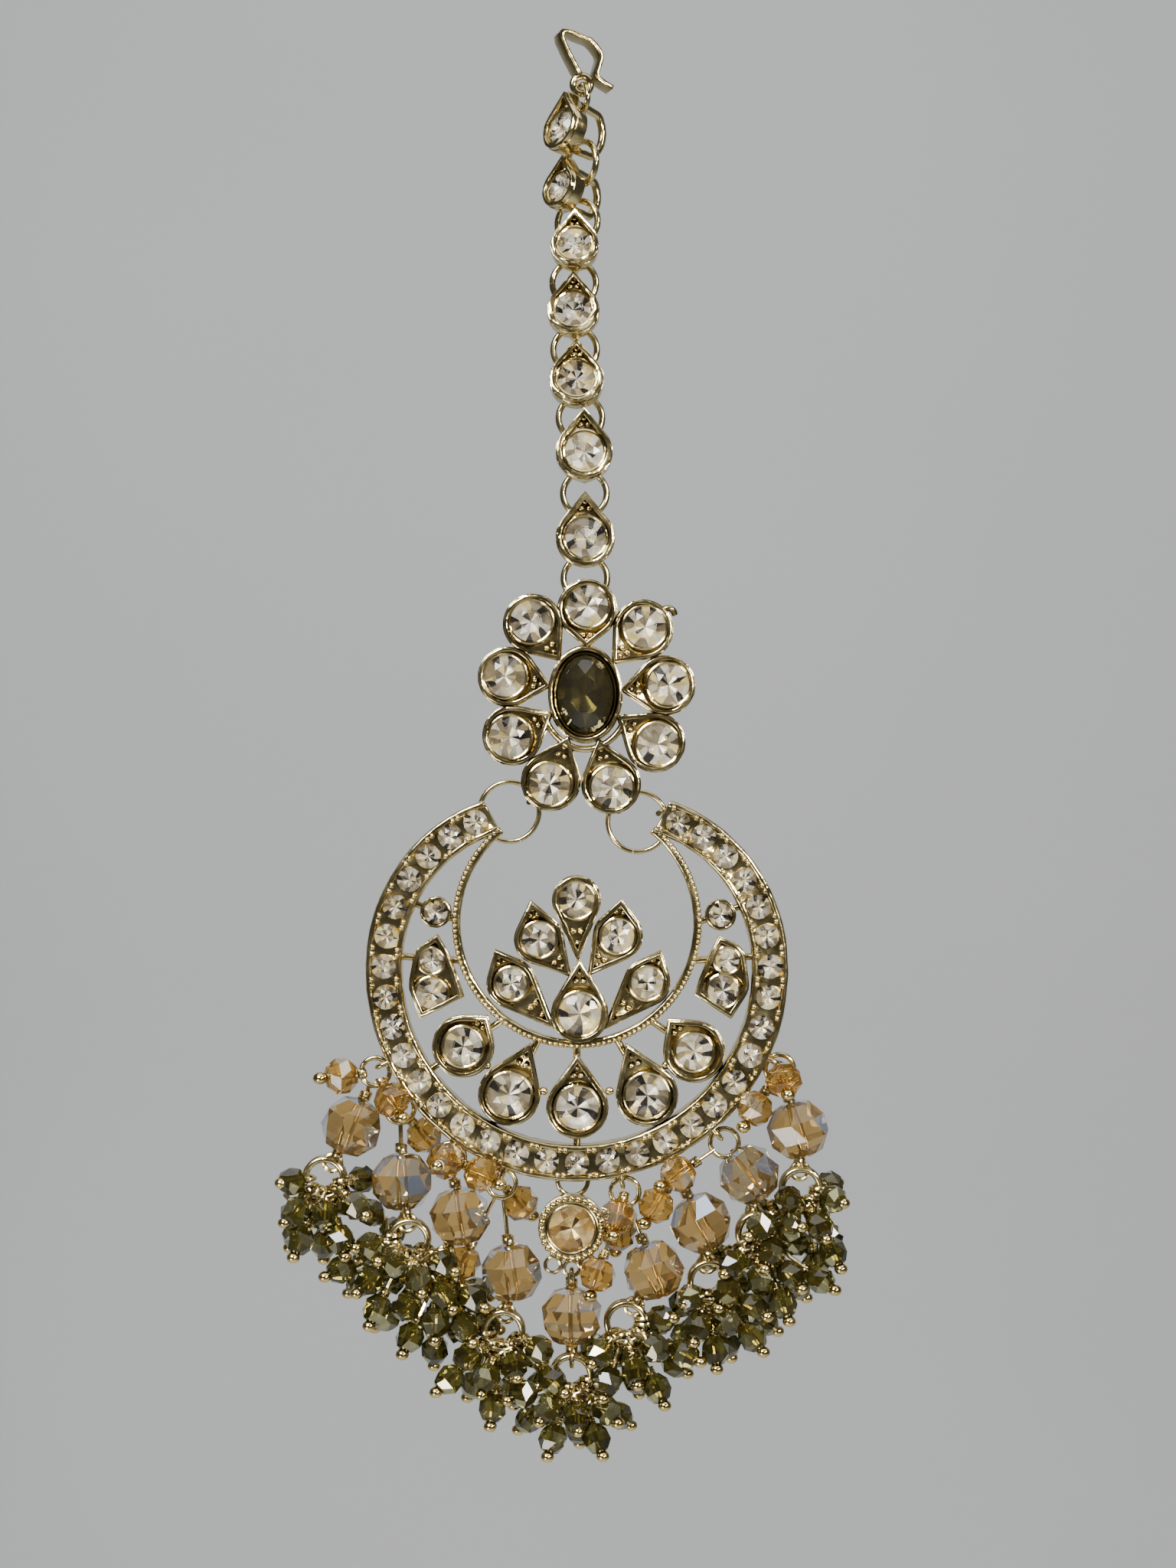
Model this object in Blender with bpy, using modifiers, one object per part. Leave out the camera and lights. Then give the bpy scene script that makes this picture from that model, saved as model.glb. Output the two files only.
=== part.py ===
"""Maang tikka: a hook, a chain of seven teardrop stations, a nine-petal flower and a pierced crescent
that swings from two jump rings, with a lotus inside it and nine bead drops along its lower edge.

Lengths are in metres, +Z is up and the front faces -Y. The origin is the inside of the hook's top bend,
where the piece pins into the hair. Rings lie in the plane y = 0 and the cast pieces stand in front of it.
"""

import math

import bmesh
import bpy
from mathutils import Matrix, Vector

MM = 0.001

# Clearances and overlaps
CLEARANCE = 0.3 * MM
SOLDER = 0.3 * MM

# Lifts that keep the backs of joined pieces out of one plane
WIRE_LIFT = 0.1 * MM
SETTING_LIFT = 0.15 * MM

# Hook: a flat strip bent like a hairpin, with an eye at its foot
STRIP_WIDTH = 2.4 * MM
STRIP_THICKNESS = 0.5 * MM
HOOK_HEIGHT = 5.6 * MM
HOOK_SPREAD = 5.2 * MM
EYE_RADIUS = 1.1 * MM
EYE_WIRE = 0.35 * MM
EYE_LEAN = math.radians(25)

# Hook outline from the foot over the top to the tail: across and down, as shares of spread and height
HOOK_SHARES = (
    (-0.02, -0.80),
    (-0.22, -0.50),
    (-0.42, -0.16),
    (-0.50, 0.06),
    (-0.36, 0.13),
    (0.00, 0.045),
    (0.24, -0.02),
    (0.47, -0.24),
    (0.50, -0.40),
    (0.39, -0.72),
    (0.45, -0.85),
    (0.80, -1.02),
)

# Rings of round wire
HOOK_RING_RADIUS = 1.75 * MM
LINK_WIRE = 0.3 * MM
JUMP_RING_RADIUS = 3.7 * MM
JUMP_WIRE = 0.3 * MM
HOOK_RING_YAW = math.radians(-65)

# Chain stations
STATION_WIDTH = 7.3 * MM
STATION_HEIGHT = 9.4 * MM
STATION_DEPTH = 2.2 * MM
STATION_STONE = 2.7 * MM
STATION_RIM = 0.75 * MM
ARCH_WIRE = 0.4 * MM
ARCH_REACH = 1.5 * MM
BODY_OFFSET = 2.8 * MM
FIRST_STATION = 10.6 * MM
CHAIN_SPAN = 50.3 * MM
LAST_PITCH = 10.7 * MM

# Share of a pitch at which an arch ends below its own station, and at which the next arch starts
ARCH_FOOT = 0.42
ARCH_HEAD = 0.665

# Stations from the top: sideways place, distance down as a share of the chain's span, yaw, tilt, size
STATIONS = (
    (0.50, 0.000, -50, 12, 0.83),
    (0.15, 0.150, -46, 12, 0.74),
    (-0.50, 0.291, 0, 12, 0.81),
    (-0.66, 0.449, 0, 12, 0.88),
    (-0.28, 0.617, 0, 13, 0.92),
    (0.66, 0.792, 0, 5, 0.96),
    (0.80, 1.000, 0, 0, 1.00),
)
SIDE_STEP = 1.0 * MM

# Flower
FLOWER_BACK = 1.5 * MM
FLOWER_DEPTH = 2.4 * MM
FLOWER_DROP = 20.3 * MM
PETAL_RING_X = 9.7 * MM
PETAL_RING_Z = 10.9 * MM
PETAL_RADIUS = 3.7 * MM
PETAL_STONE = 2.5 * MM
STONE_OUT = 0.45 * MM
CENTRE_WIDTH = 9.2 * MM
CENTRE_HEIGHT = 12.1 * MM
CENTRE_DEPTH = 2.9 * MM
CENTRE_RIM = 1.0 * MM
TIP_OVERLAP = 0.5 * MM

# Petals from the top: direction in degrees and distance as a share of the petal ring. Each meets the next.
PETALS = (
    (88.5, 0.959),
    (129.9, 1.033),
    (168.6, 1.000),
    (206.7, 1.033),
    (245.9, 1.071),
    (287.9, 1.063),
    (328.5, 1.037),
    (365.8, 1.018),
    (405.0, 1.033),
)

# Crescent
CRESCENT_RADIUS = 26.0 * MM
CRESCENT_BACK = 1.0 * MM
BAND_WIDTH = 4.5 * MM
BAND_DEPTH = 2.4 * MM
RAIL_WIDTH = 0.7 * MM
CHANNEL_DEPTH = 0.9 * MM
END_GAP = 20.9 * MM
PULL_START = math.radians(95)
PULL_IN = 2.2 * MM
PAVE_COUNT = 33
PAVE_MARGIN = math.radians(5.5)
PAVE_RADIUS = 1.42 * MM
INNER_RADIUS = 14.8 * MM
INNER_RAISE = 5.7 * MM
INNER_WIRE = 0.9 * MM
INNER_DEPTH = 2.0 * MM
INNER_END = math.radians(145)
BAR_RADIUS = 0.45 * MM
LUG_WIRE = 0.35 * MM
LUG_REACH = 1.6 * MM

# Settings and their stones
SETTING_DEPTH = 2.0 * MM
LEAF_RIM = 0.5 * MM
ROUND_RIM = 0.35 * MM
RECESS = 0.9 * MM
CROWN = 0.9 * MM
STONE_FOOT = 0.35 * MM
TABLE_SHARE = 0.55
LOTUS_RAISE = 0.8 * MM

# Crescent settings as shares of its radius: centre across, centre up, outline radius, stone radius,
# own stone or fused, and the outline's points as (distance, direction in degrees)
SETTINGS = {
    "drop_left": (-0.321, -0.592, 0.148, 0.106, True, ((0.265, 67),)),
    "drop_middle": (0.002, -0.653, 0.148, 0.104, True, ((0.254, 90),)),
    "drop_right": (0.332, -0.595, 0.148, 0.106, True, ((0.265, 112),)),
    "side_left": (-0.538, -0.363, 0.148, 0.094, True, ((0.187, 51),)),
    "side_right": (0.555, -0.388, 0.148, 0.089, True, ((0.200, 129),)),
}

# The lotus, given in the same way as shares of the inner wire's radius, from that wire's middle
LOTUS = {
    "lotus_top": (-0.004, 0.195, 0.206, 0.153, True, ((0.520, 271),)),
    "lotus_upper_left": (-0.316, -0.136, 0.209, 0.146, False, ((0.337, 102), (0.413, 311))),
    "lotus_upper_right": (0.341, -0.104, 0.209, 0.142, False, ((0.307, 85), (0.422, 233))),
    "lotus_left": (-0.545, -0.499, 0.209, 0.135, False, ((0.318, 116), (0.541, 314))),
    "lotus_right": (0.583, -0.494, 0.197, 0.139, False, ((0.299, 66), (0.541, 227))),
    "lotus_middle": (0.023, -0.749, 0.241, 0.183, True, ((0.466, 90),)),
}

# Settings with no stone at their middle: outline as above, then stones as (across, up, radius)
LEAVES = {
    "leaf_left": (
        (-0.677, -0.069, 0.119, ((0.238, 86), (0.156, 338), (0.177, 248))),
        ((-0.011, 0.112, 0.058), (-0.011, -0.043, 0.074)),
    ),
    "leaf_right": (
        (0.695, -0.069, 0.119, ((0.230, 96), (0.146, 200), (0.169, 282))),
        ((0.016, 0.115, 0.058), (-0.004, -0.031, 0.074)),
    ),
}
ROUNDS = ((-0.668, 0.272), (0.680, 0.258))
ROUND_RADIUS = 1.9 * MM
ROUND_STONE = 1.35 * MM

# Bars behind the settings, as angles from straight down
BAR_ANGLES = (-112, -94, -55.5, -28.5, 0, 29.5, 55, 94, 111)

# Jump rings: the flower's arch as shares of its petal ring, then the crescent's arch as an angle back from
# the band's end and a share of the band's width out from its middle. The left ring is drawn taut.
JUMP_RINGS = {
    "jump_ring_left": (-0.6288, -1.1761, 4.1, 0.0),
    "jump_ring_right": (0.3361, -1.2752, 0.2, 0.187),
}
TAUT_DIRECTION = math.radians(201.5)
RING_SLACK = 0.02 * MM

# Small pendant under the band
PENDANT_RADIUS = 4.3 * MM
PENDANT_DEPTH = 2.2 * MM
PENDANT_HANG = 5.8 * MM
PENDANT_RIM = 1.0 * MM
PENDANT_STONE = 2.8 * MM
BAIL_RADIUS = 1.9 * MM

# Fringe
BEAD_RADIUS = 3.9 * MM
SMALL_BEAD_RADIUS = 2.1 * MM
OLIVE_RADIUS = 1.9 * MM
RIM_RING_RADIUS = 1.6 * MM
CLUSTER_RING_RADIUS = 2.1 * MM
EYELET_LEAN = 0.75
LOOP_RADIUS = 1.0 * MM
LOOP_WIRE = 0.25 * MM
STEM_WIRE = 0.3 * MM
CLUSTER_DROP = 7.2 * MM
PENDANT_BEAD_DROP = 4.9 * MM
PIN_LENGTH = 5.0 * MM
LONG_PIN = 7.2 * MM

# Drops from the left: rim angle, or None under the pendant, big bead across and up as shares of the
# crescent's radius, lean of the cluster ring, direction of its bunch, and a small side bead or None.
# Angles are from straight down.
DROPS = (
    (-64, -1.065, -0.742, -28, -3, (-1.105, -0.498)),
    (-53, -0.829, -1.004, 7, -25, None),
    (-35, -0.554, -1.169, -21, -5, None),
    (-20, -0.310, -1.435, -8, -10, (-0.267, -1.121)),
    (None, -0.025, None, 0, 0, None),
    (12, 0.362, -1.423, -28, 25, (0.227, -1.154)),
    (26, 0.588, -1.200, 8, 15, None),
    (40.5, 0.815, -0.973, 8, 20, None),
    (65, 1.046, -0.758, 3, 2, None),
)

# Olive beads of one cluster: turn from the bunch's direction, and whether the pin is a long one
BUNCH = ((-50, False), (50, False), (-5, True))

# Facets
RING_STEPS = 10
WIRE_SIDES = 5
BEAD_SEGMENTS = 10
BIG_BEAD_BANDS = 5
BEAD_BANDS = 3
STONE_FACETS = 8
OVAL_FACETS = 12
OVAL_STEPS = 16
PENDANT_STEPS = 12
ARC_STEP = math.radians(38)
BAND_STEPS = 34
INNER_STEPS = 24
TUBE_RESOLUTION = 1
PIN_RESOLUTION = 0

GOLD = (0.50, 0.42, 0.20)
CLEAR = (0.86, 0.82, 0.74)
OLIVE = (0.16, 0.15, 0.05)
CHAMPAGNE = (0.80, 0.60, 0.42)

QUARTER_TURN = math.radians(90)
FACING = Matrix.Rotation(QUARTER_TURN, 4, "X")


def clear_scene():
    for obj in list(bpy.data.objects):
        bpy.data.objects.remove(obj)


def material(name, colour, metallic, roughness):
    made = bpy.data.materials.new(name)
    made.use_nodes = True
    shader = made.node_tree.nodes["Principled BSDF"]
    shader.inputs["Base Color"].default_value = (*colour, 1)
    shader.inputs["Metallic"].default_value = metallic
    shader.inputs["Roughness"].default_value = roughness
    made.diffuse_color = (*colour, 1)
    return made


def polar(distance, angle):
    return Vector((distance * math.cos(angle), distance * math.sin(angle)))


def down(distance, angle):
    """A point in the x-z plane at this angle from straight down, positive towards +X."""
    return Vector((distance * math.sin(angle), 0, -distance * math.cos(angle)))


def add_mesh(bm, name="piece"):
    bmesh.ops.recalc_face_normals(bm, faces=bm.faces)
    mesh = bpy.data.meshes.new(name)
    bm.to_mesh(mesh)
    bm.free()
    obj = bpy.data.objects.new(name, mesh)
    bpy.context.scene.collection.objects.link(obj)
    return obj


def evaluated_copy(obj):
    """The object as its modifiers leave it, with the loose ends of a curve's caps welded."""
    bpy.context.view_layer.update()
    shown = obj.evaluated_get(bpy.context.evaluated_depsgraph_get())
    mesh = bpy.data.meshes.new_from_object(shown)
    bm = bmesh.new()
    bm.from_mesh(mesh)
    bmesh.ops.remove_doubles(bm, verts=bm.verts, dist=0.0005 * MM)
    made = add_mesh(bm)
    made.matrix_world = obj.matrix_world
    bpy.data.objects.remove(obj)
    return made


def fuse(name, pieces, look):
    """One body from overlapping closed solids, placed where the first of them is."""
    base, helpers = pieces[0], pieces[1:]
    if helpers:
        joined = bpy.data.collections.new(name + "_joined")
        bpy.context.scene.collection.children.link(joined)
        for helper in helpers:
            joined.objects.link(helper)
        union = base.modifiers.new("Solder", "BOOLEAN")
        union.operation = "UNION"
        union.operand_type = "COLLECTION"
        union.collection = joined
        base = evaluated_copy(base)
        for helper in helpers:
            bpy.data.objects.remove(helper)
        bpy.data.collections.remove(joined)
    base.name = name
    base.data.name = name
    base.data.materials.clear()
    base.data.materials.append(look)
    return base


def ring(radius, wire, place, facing):
    """A round wire ring; facing turns a ring that lies flat."""
    bpy.ops.mesh.primitive_torus_add(
        major_segments=RING_STEPS,
        minor_segments=WIRE_SIDES,
        major_radius=radius,
        minor_radius=wire,
    )
    made = bpy.context.object
    made.matrix_world = Matrix.Translation(place) @ facing
    return made


def face_on(yaw=0.0):
    """A ring that is seen round from the front, turned about the upright."""
    return Matrix.Rotation(yaw, 4, "Z") @ FACING


def edge_on(lean=0.0):
    """A ring seen edge-on from the front, leaning this far from straight down."""
    turn = Matrix.Rotation(-lean, 4, "Y")
    return turn @ Matrix.Rotation(QUARTER_TURN, 4, "Y")


def tube(points, radius, resolution=TUBE_RESOLUTION):
    """A wire along the points, with closed ends."""
    data = bpy.data.curves.new("wire", "CURVE")
    data.dimensions = "3D"
    data.bevel_depth = radius
    data.bevel_resolution = resolution
    data.use_fill_caps = True
    spline = data.splines.new("POLY")
    spline.points.add(len(points) - 1)
    for point, place in zip(spline.points, points):
        point.co = (*place, 1)
    obj = bpy.data.objects.new("wire", data)
    bpy.context.scene.collection.objects.link(obj)
    return evaluated_copy(obj)


def arch(foot_a, foot_b, reach, wire, resolution=TUBE_RESOLUTION):
    """A wire that leaves foot_a along reach, crosses over and comes back to foot_b."""
    across = (foot_b - foot_a).normalized() * wire
    rise = reach.normalized() * wire
    points = (
        foot_a,
        foot_a + reach - rise,
        foot_a + reach + across,
        foot_b + reach - across,
        foot_b + reach - rise,
        foot_b,
    )
    return tube(points, wire, resolution)


def bead(radius, bands, place):
    bm = bmesh.new()
    bmesh.ops.create_uvsphere(bm, u_segments=BEAD_SEGMENTS, v_segments=bands, radius=radius)
    made = add_mesh(bm)
    made.location = place
    return made


def pointed_outline(radius, points):
    """A circle drawn out to points, each a distance and a direction, counter-clockwise."""
    corners = []
    for distance, degrees in points:
        direction = math.radians(degrees)
        half = math.acos(radius / distance)
        corners.append((direction - half, direction, direction + half, distance))
    corners.sort()
    made = []
    for index, (start, direction, end, distance) in enumerate(corners):
        made.append(polar(distance, direction))
        following = corners[(index + 1) % len(corners)][0]
        if following <= end:
            following += math.tau
        steps = max(1, round((following - end) / ARC_STEP))
        made += [polar(radius, end + (following - end) * step / steps) for step in range(steps + 1)]
    return made


def oval_outline(half_width, half_height, steps):
    turns = [math.tau * step / steps for step in range(steps)]
    return [Vector((half_width * math.cos(turn), half_height * math.sin(turn))) for turn in turns]


def tray(outline, depth, rim, recess=RECESS):
    """A flat cup: the outline drawn forward, its front inset by the rim and sunk by the recess."""
    bm = bmesh.new()
    back = bm.faces.new([bm.verts.new((*point, 0)) for point in outline])
    drawn = bmesh.ops.extrude_face_region(bm, geom=[back])["geom"]
    verts = [item for item in drawn if isinstance(item, bmesh.types.BMVert)]
    front = next(item for item in drawn if isinstance(item, bmesh.types.BMFace))
    bmesh.ops.translate(bm, verts=verts, vec=(0, 0, depth))
    bmesh.ops.recalc_face_normals(bm, faces=bm.faces)
    bmesh.ops.inset_region(bm, faces=[front], thickness=rim, use_even_offset=True)
    lowered = bmesh.ops.extrude_face_region(bm, geom=[front])["geom"]
    verts = [item for item in lowered if isinstance(item, bmesh.types.BMVert)]
    bmesh.ops.translate(bm, verts=verts, vec=(0, 0, -recess))
    if front.is_valid:
        bmesh.ops.delete(bm, geom=[front], context="FACES_ONLY")
    return add_mesh(bm)


def stone(radius, facets=STONE_FACETS, foot=STONE_FOOT, stretch=1.0):
    """A cut stone on its flat back: a short foot, then crown facets up to the table."""
    bm = bmesh.new()
    half = CROWN / 2
    bmesh.ops.create_cone(
        bm,
        cap_ends=True,
        segments=facets,
        radius1=radius,
        radius2=radius * TABLE_SHARE,
        depth=CROWN,
        matrix=Matrix.Translation((0, 0, half + foot)),
    )
    below = min(bm.faces, key=lambda face: face.calc_center_median().z)
    drawn = bmesh.ops.extrude_face_region(bm, geom=[below])["geom"]
    verts = [item for item in drawn if isinstance(item, bmesh.types.BMVert)]
    bmesh.ops.translate(bm, verts=verts, vec=(0, 0, -foot))
    if below.is_valid:
        bmesh.ops.delete(bm, geom=[below], context="FACES_ONLY")
    bmesh.ops.scale(bm, verts=bm.verts, vec=(1, stretch, 1))
    return add_mesh(bm)


def stand(obj, x, height, z, frame):
    """Places a piece modelled flat at x, z of an upright frame, this far in front of its back plane."""
    obj.matrix_world = frame @ Matrix.Translation((x, z, height))
    return obj


def station_pitch(index, pivots):
    if index + 1 < len(pivots):
        return pivots[index].z - pivots[index + 1].z
    return LAST_PITCH


def station_pivots():
    """Where the chain's line crosses each station's arch."""
    places = []
    for side, share, _, tilt, _ in STATIONS:
        height = -FIRST_STATION - CHAIN_SPAN * share
        places.append(Vector((side * SIDE_STEP, 0, height - BODY_OFFSET * math.sin(math.radians(tilt)))))
    return places


def arch_centres(pivots):
    """Heights of the foot wire of each arch, and of the head wire of the arch below it."""
    feet, heads = [], []
    for index, pivot in enumerate(pivots):
        pitch = station_pitch(index, pivots)
        feet.append(pivot.z - ARCH_FOOT * pitch + ARCH_WIRE)
        heads.append(pivot.z - ARCH_HEAD * pitch - ARCH_WIRE)
    return feet, heads


def link_radius(pivots):
    """Every link is alike and just clears the two wires it holds where they lie furthest apart."""
    longest = max(station_pitch(index, pivots) for index in range(len(pivots)))
    spread = (ARCH_HEAD - ARCH_FOOT) * longest + 4 * ARCH_WIRE
    return spread / 2 + CLEARANCE + LINK_WIRE


def hook(look):
    bm = bmesh.new()
    line = []
    for across, drop in HOOK_SHARES:
        height = drop * HOOK_HEIGHT
        line.append(bm.verts.new((across * HOOK_SPREAD, -STRIP_WIDTH / 2, height)))
    edges = [bm.edges.new(pair) for pair in zip(line, line[1:])]
    drawn = bmesh.ops.extrude_edge_only(bm, edges=edges)["geom"]
    verts = [item for item in drawn if isinstance(item, bmesh.types.BMVert)]
    bmesh.ops.translate(bm, verts=verts, vec=(0, STRIP_WIDTH, 0))
    strip = add_mesh(bm)
    solid = strip.modifiers.new("Thickness", "SOLIDIFY")
    solid.thickness = STRIP_THICKNESS
    solid.offset = 0
    solid.use_even_offset = True
    strip = evaluated_copy(strip)
    return fuse("hook", [strip, ring(EYE_RADIUS, EYE_WIRE, eye_place(), face_on())], look)


def eye_place():
    """The eye's middle, just under the strip's foot."""
    across, drop = HOOK_SHARES[0]
    foot = Vector((across * HOOK_SPREAD, 0, drop * HOOK_HEIGHT))
    return foot + down(EYE_RADIUS, EYE_LEAN)


def hook_ring(look):
    place = eye_place() + down(HOOK_RING_RADIUS, 0)
    return fuse("hook_ring", [ring(HOOK_RING_RADIUS, LINK_WIRE, place, face_on(HOOK_RING_YAW))], look)


def station(index, pivots, look):
    """A teardrop setting with its stone, and the arch behind it that holds the links."""
    _, _, yaw, tilt, size = STATIONS[index]
    feet, heads = arch_centres(pivots)
    pivot = pivots[index]
    if index:
        head = heads[index - 1] - pivot.z
    else:
        ring_foot = eye_place().z - 2 * HOOK_RING_RADIUS
        head = ring_foot + LINK_WIRE + CLEARANCE + ARCH_WIRE - pivot.z
    foot = feet[index] - pivot.z
    radius = STATION_WIDTH / 2 * size
    height = STATION_HEIGHT * size
    front = STATION_DEPTH / 2 + BODY_OFFSET
    back = front - STATION_DEPTH
    turned = Matrix.Rotation(math.radians(yaw), 4, "Z") @ Matrix.Rotation(math.radians(-tilt), 4, "X")
    frame = Matrix.Translation(pivot) @ turned @ FACING
    low = radius - height / 2
    outline = pointed_outline(radius, ((height - radius, 90),))
    cup = stand(tray(outline, STATION_DEPTH, STATION_RIM * size), 0, back, low, frame)
    seat = back + STATION_DEPTH - RECESS - SOLDER
    cut = stand(stone(STATION_STONE * size, foot=SOLDER), 0, seat, low, frame)
    inside = back + SOLDER
    flat = Vector((0, 0, -inside - ARCH_REACH))
    handle = arch(Vector((0, head, inside)), Vector((0, foot, inside)), flat, ARCH_WIRE)
    handle.matrix_world = frame
    return fuse(f"station_{index + 1}", [cup, cut, handle], look)


def link(index, pivots, look):
    feet, heads = arch_centres(pivots)
    pivot = pivots[index]
    below = pivots[index + 1] if index + 1 < len(pivots) else pivot
    yaw = math.radians(STATIONS[index][2])
    next_yaw = math.radians(STATIONS[index + 1][2]) if index + 1 < len(STATIONS) else 0
    middle = (feet[index] + heads[index]) / 2
    place = Vector(((pivot.x + below.x) / 2, 0, middle))
    facing = face_on((yaw + next_yaw) / 2)
    return fuse(f"link_{index + 1}", [ring(link_radius(pivots), LINK_WIRE, place, facing)], look)


def flower_middle(pivots):
    return Vector((pivots[-1].x, 0, pivots[-1].z - FLOWER_DROP))


def petal_places():
    places = []
    for degrees, share in PETALS:
        turn = math.radians(degrees)
        places.append(share * Vector((PETAL_RING_X * math.cos(turn), PETAL_RING_Z * math.sin(turn))))
    return places


def ring_arch(middle, radius, ring_wire, degrees, back):
    """An arch on a back plane whose two legs stand inside and outside a face-on ring."""
    away = ring_wire + CLEARANCE + LUG_WIRE
    direction = polar(1, math.radians(degrees))
    inside = middle.xz + direction * (radius - away)
    outside = middle.xz + direction * (radius + away)
    return arch(
        Vector((inside.x, -back - SOLDER, inside.y)),
        Vector((outside.x, -back - SOLDER, outside.y)),
        Vector((0, back + SOLDER + LUG_REACH, 0)),
        LUG_WIRE,
    )


def flower_arch(name, pivots):
    """Where a jump ring passes through the flower's arch."""
    across, up, _, _ = JUMP_RINGS[name]
    return flower_middle(pivots) + Vector((across * PETAL_RING_X, 0, up * PETAL_RING_Z))


def crescent_arch_offset(name):
    """From the crescent's middle to the arch near one end of its band."""
    across, _, back, out = JUMP_RINGS[name]
    angle = band_end() - math.radians(back)
    radius = CRESCENT_RADIUS - BAND_WIDTH / 2 - pulled(angle) + out * BAND_WIDTH
    return down(radius, math.copysign(angle, across))


def jump_ring_places(pivots):
    """Each ring hangs below the line between its two arches."""
    places = {}
    for name in JUMP_RINGS:
        above = flower_arch(name, pivots)
        below = crescent_middle(pivots) + crescent_arch_offset(name)
        below.y = 0
        along = (below - above) / 2
        sag = Vector((along.z, 0, -along.x)).normalized()
        if sag.z > 0:
            sag = -sag
        places[name] = above + along + sag * math.sqrt(JUMP_RING_RADIUS**2 - along.length_squared)
    return places


def ring_crossings(name, pivots):
    """Directions from a jump ring's middle to the flower's arch and to the crescent's arch."""
    place = jump_ring_places(pivots)[name]
    above = flower_arch(name, pivots) - place
    below = crescent_middle(pivots) + crescent_arch_offset(name) - place
    return [math.degrees(math.atan2(way.z, way.x)) for way in (above, below)]


def flower(pivots, look, clear, dark):
    middle = flower_middle(pivots)
    frame = Matrix.Translation(middle + Vector((0, -FLOWER_BACK, 0))) @ FACING
    oval = oval_outline(CENTRE_WIDTH / 2, CENTRE_HEIGHT / 2, OVAL_STEPS)
    oval_recess = RECESS + CENTRE_DEPTH - FLOWER_DEPTH
    pieces = [stand(tray(oval, CENTRE_DEPTH, CENTRE_RIM, oval_recess), 0, 0, 0, frame)]
    petal_rim = PETAL_RADIUS - PETAL_STONE - STONE_OUT - CLEARANCE
    seat = FLOWER_DEPTH - RECESS + CLEARANCE
    stones = []
    for index, place in enumerate(petal_places()):
        direction = math.atan2(-place.y, -place.x)
        across = 2 * math.cos(direction) / CENTRE_WIDTH
        up = 2 * math.sin(direction) / CENTRE_HEIGHT
        tip = place.length - 1 / math.hypot(across, up) + TIP_OVERLAP
        outline = pointed_outline(PETAL_RADIUS, ((tip, math.degrees(direction)),))
        pieces.append(stand(tray(outline, FLOWER_DEPTH, petal_rim), place.x, 0, place.y, frame))
        spot = place + place.normalized() * STONE_OUT
        cut = stand(stone(PETAL_STONE), spot.x, seat, spot.y, frame)
        stones.append(fuse(f"flower_stone_{index + 1}", [cut], clear))
    feet, heads = arch_centres(pivots)
    head = Vector((middle.x, -FLOWER_BACK - SOLDER, heads[-1]))
    drop = Vector((0, 0, -2 * (ARCH_WIRE + LINK_WIRE + CLEARANCE) - ARCH_WIRE))
    reach = Vector((0, FLOWER_BACK + SOLDER + ARCH_REACH, 0))
    pieces.append(arch(head, head + drop, reach, ARCH_WIRE))
    for name, place in jump_ring_places(pivots).items():
        on_flower, _ = ring_crossings(name, pivots)
        pieces.append(ring_arch(place, JUMP_RING_RADIUS, JUMP_WIRE, on_flower, FLOWER_BACK))
    width = CENTRE_WIDTH / 2 - CENTRE_RIM - CLEARANCE
    height = CENTRE_HEIGHT / 2 - CENTRE_RIM - CLEARANCE
    oval_stone = stand(stone(width, OVAL_FACETS, STONE_FOOT, height / width), 0, seat, 0, frame)
    stones.append(fuse("flower_centre_stone", [oval_stone], dark))
    return [fuse("flower_frame", pieces, look)] + stones


def band_end():
    """The angle from straight down at which the gap between the band's ends is left."""
    return math.pi - math.asin(END_GAP / 2 / (CRESCENT_RADIUS - BAND_WIDTH / 2 - PULL_IN))


def pulled(angle):
    """How far the band draws in towards its ends."""
    share = max(0, abs(angle) - PULL_START) / (band_end() - PULL_START)
    return PULL_IN * share**2


def turned_bar(profile, end, steps, raise_by=0.0, pull=False):
    """A profile of (radius, height) points turned about the middle, from -end to end."""
    bm = bmesh.new()
    verts = [bm.verts.new((radius, 0, height)) for radius, height in profile]
    edges = [bm.edges.new((a, b)) for a, b in zip(verts, verts[1:] + verts[:1])]
    start = Matrix.Rotation(-math.pi / 2 - end, 4, "Z")
    bmesh.ops.rotate(bm, verts=verts, cent=(0, 0, 0), matrix=start)
    bmesh.ops.spin(bm, geom=verts + edges, axis=(0, 0, 1), cent=(0, 0, 0), angle=2 * end, steps=steps)
    bmesh.ops.holes_fill(bm, edges=[edge for edge in bm.edges if edge.is_boundary])
    for vert in bm.verts:
        flat = vert.co.xy
        if pull:
            shift = pulled(math.atan2(flat.x, -flat.y))
            vert.co.xy = flat * (1 - shift / flat.length)
        vert.co.y += raise_by
    return add_mesh(bm)


def band():
    inner = CRESCENT_RADIUS - BAND_WIDTH
    floor = BAND_DEPTH - CHANNEL_DEPTH
    profile = (
        (CRESCENT_RADIUS, 0),
        (CRESCENT_RADIUS, BAND_DEPTH),
        (CRESCENT_RADIUS - RAIL_WIDTH, BAND_DEPTH),
        (CRESCENT_RADIUS - RAIL_WIDTH, floor),
        (inner + RAIL_WIDTH, floor),
        (inner + RAIL_WIDTH, BAND_DEPTH),
        (inner, BAND_DEPTH),
        (inner, 0),
    )
    return turned_bar(profile, band_end(), BAND_STEPS, pull=True)


def inner_wire():
    outer = INNER_RADIUS + INNER_WIRE / 2
    inner = INNER_RADIUS - INNER_WIRE / 2
    low = WIRE_LIFT
    profile = ((outer, low), (outer, low + INNER_DEPTH), (inner, low + INNER_DEPTH), (inner, low))
    return turned_bar(profile, INNER_END, INNER_STEPS, raise_by=INNER_RAISE)


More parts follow.
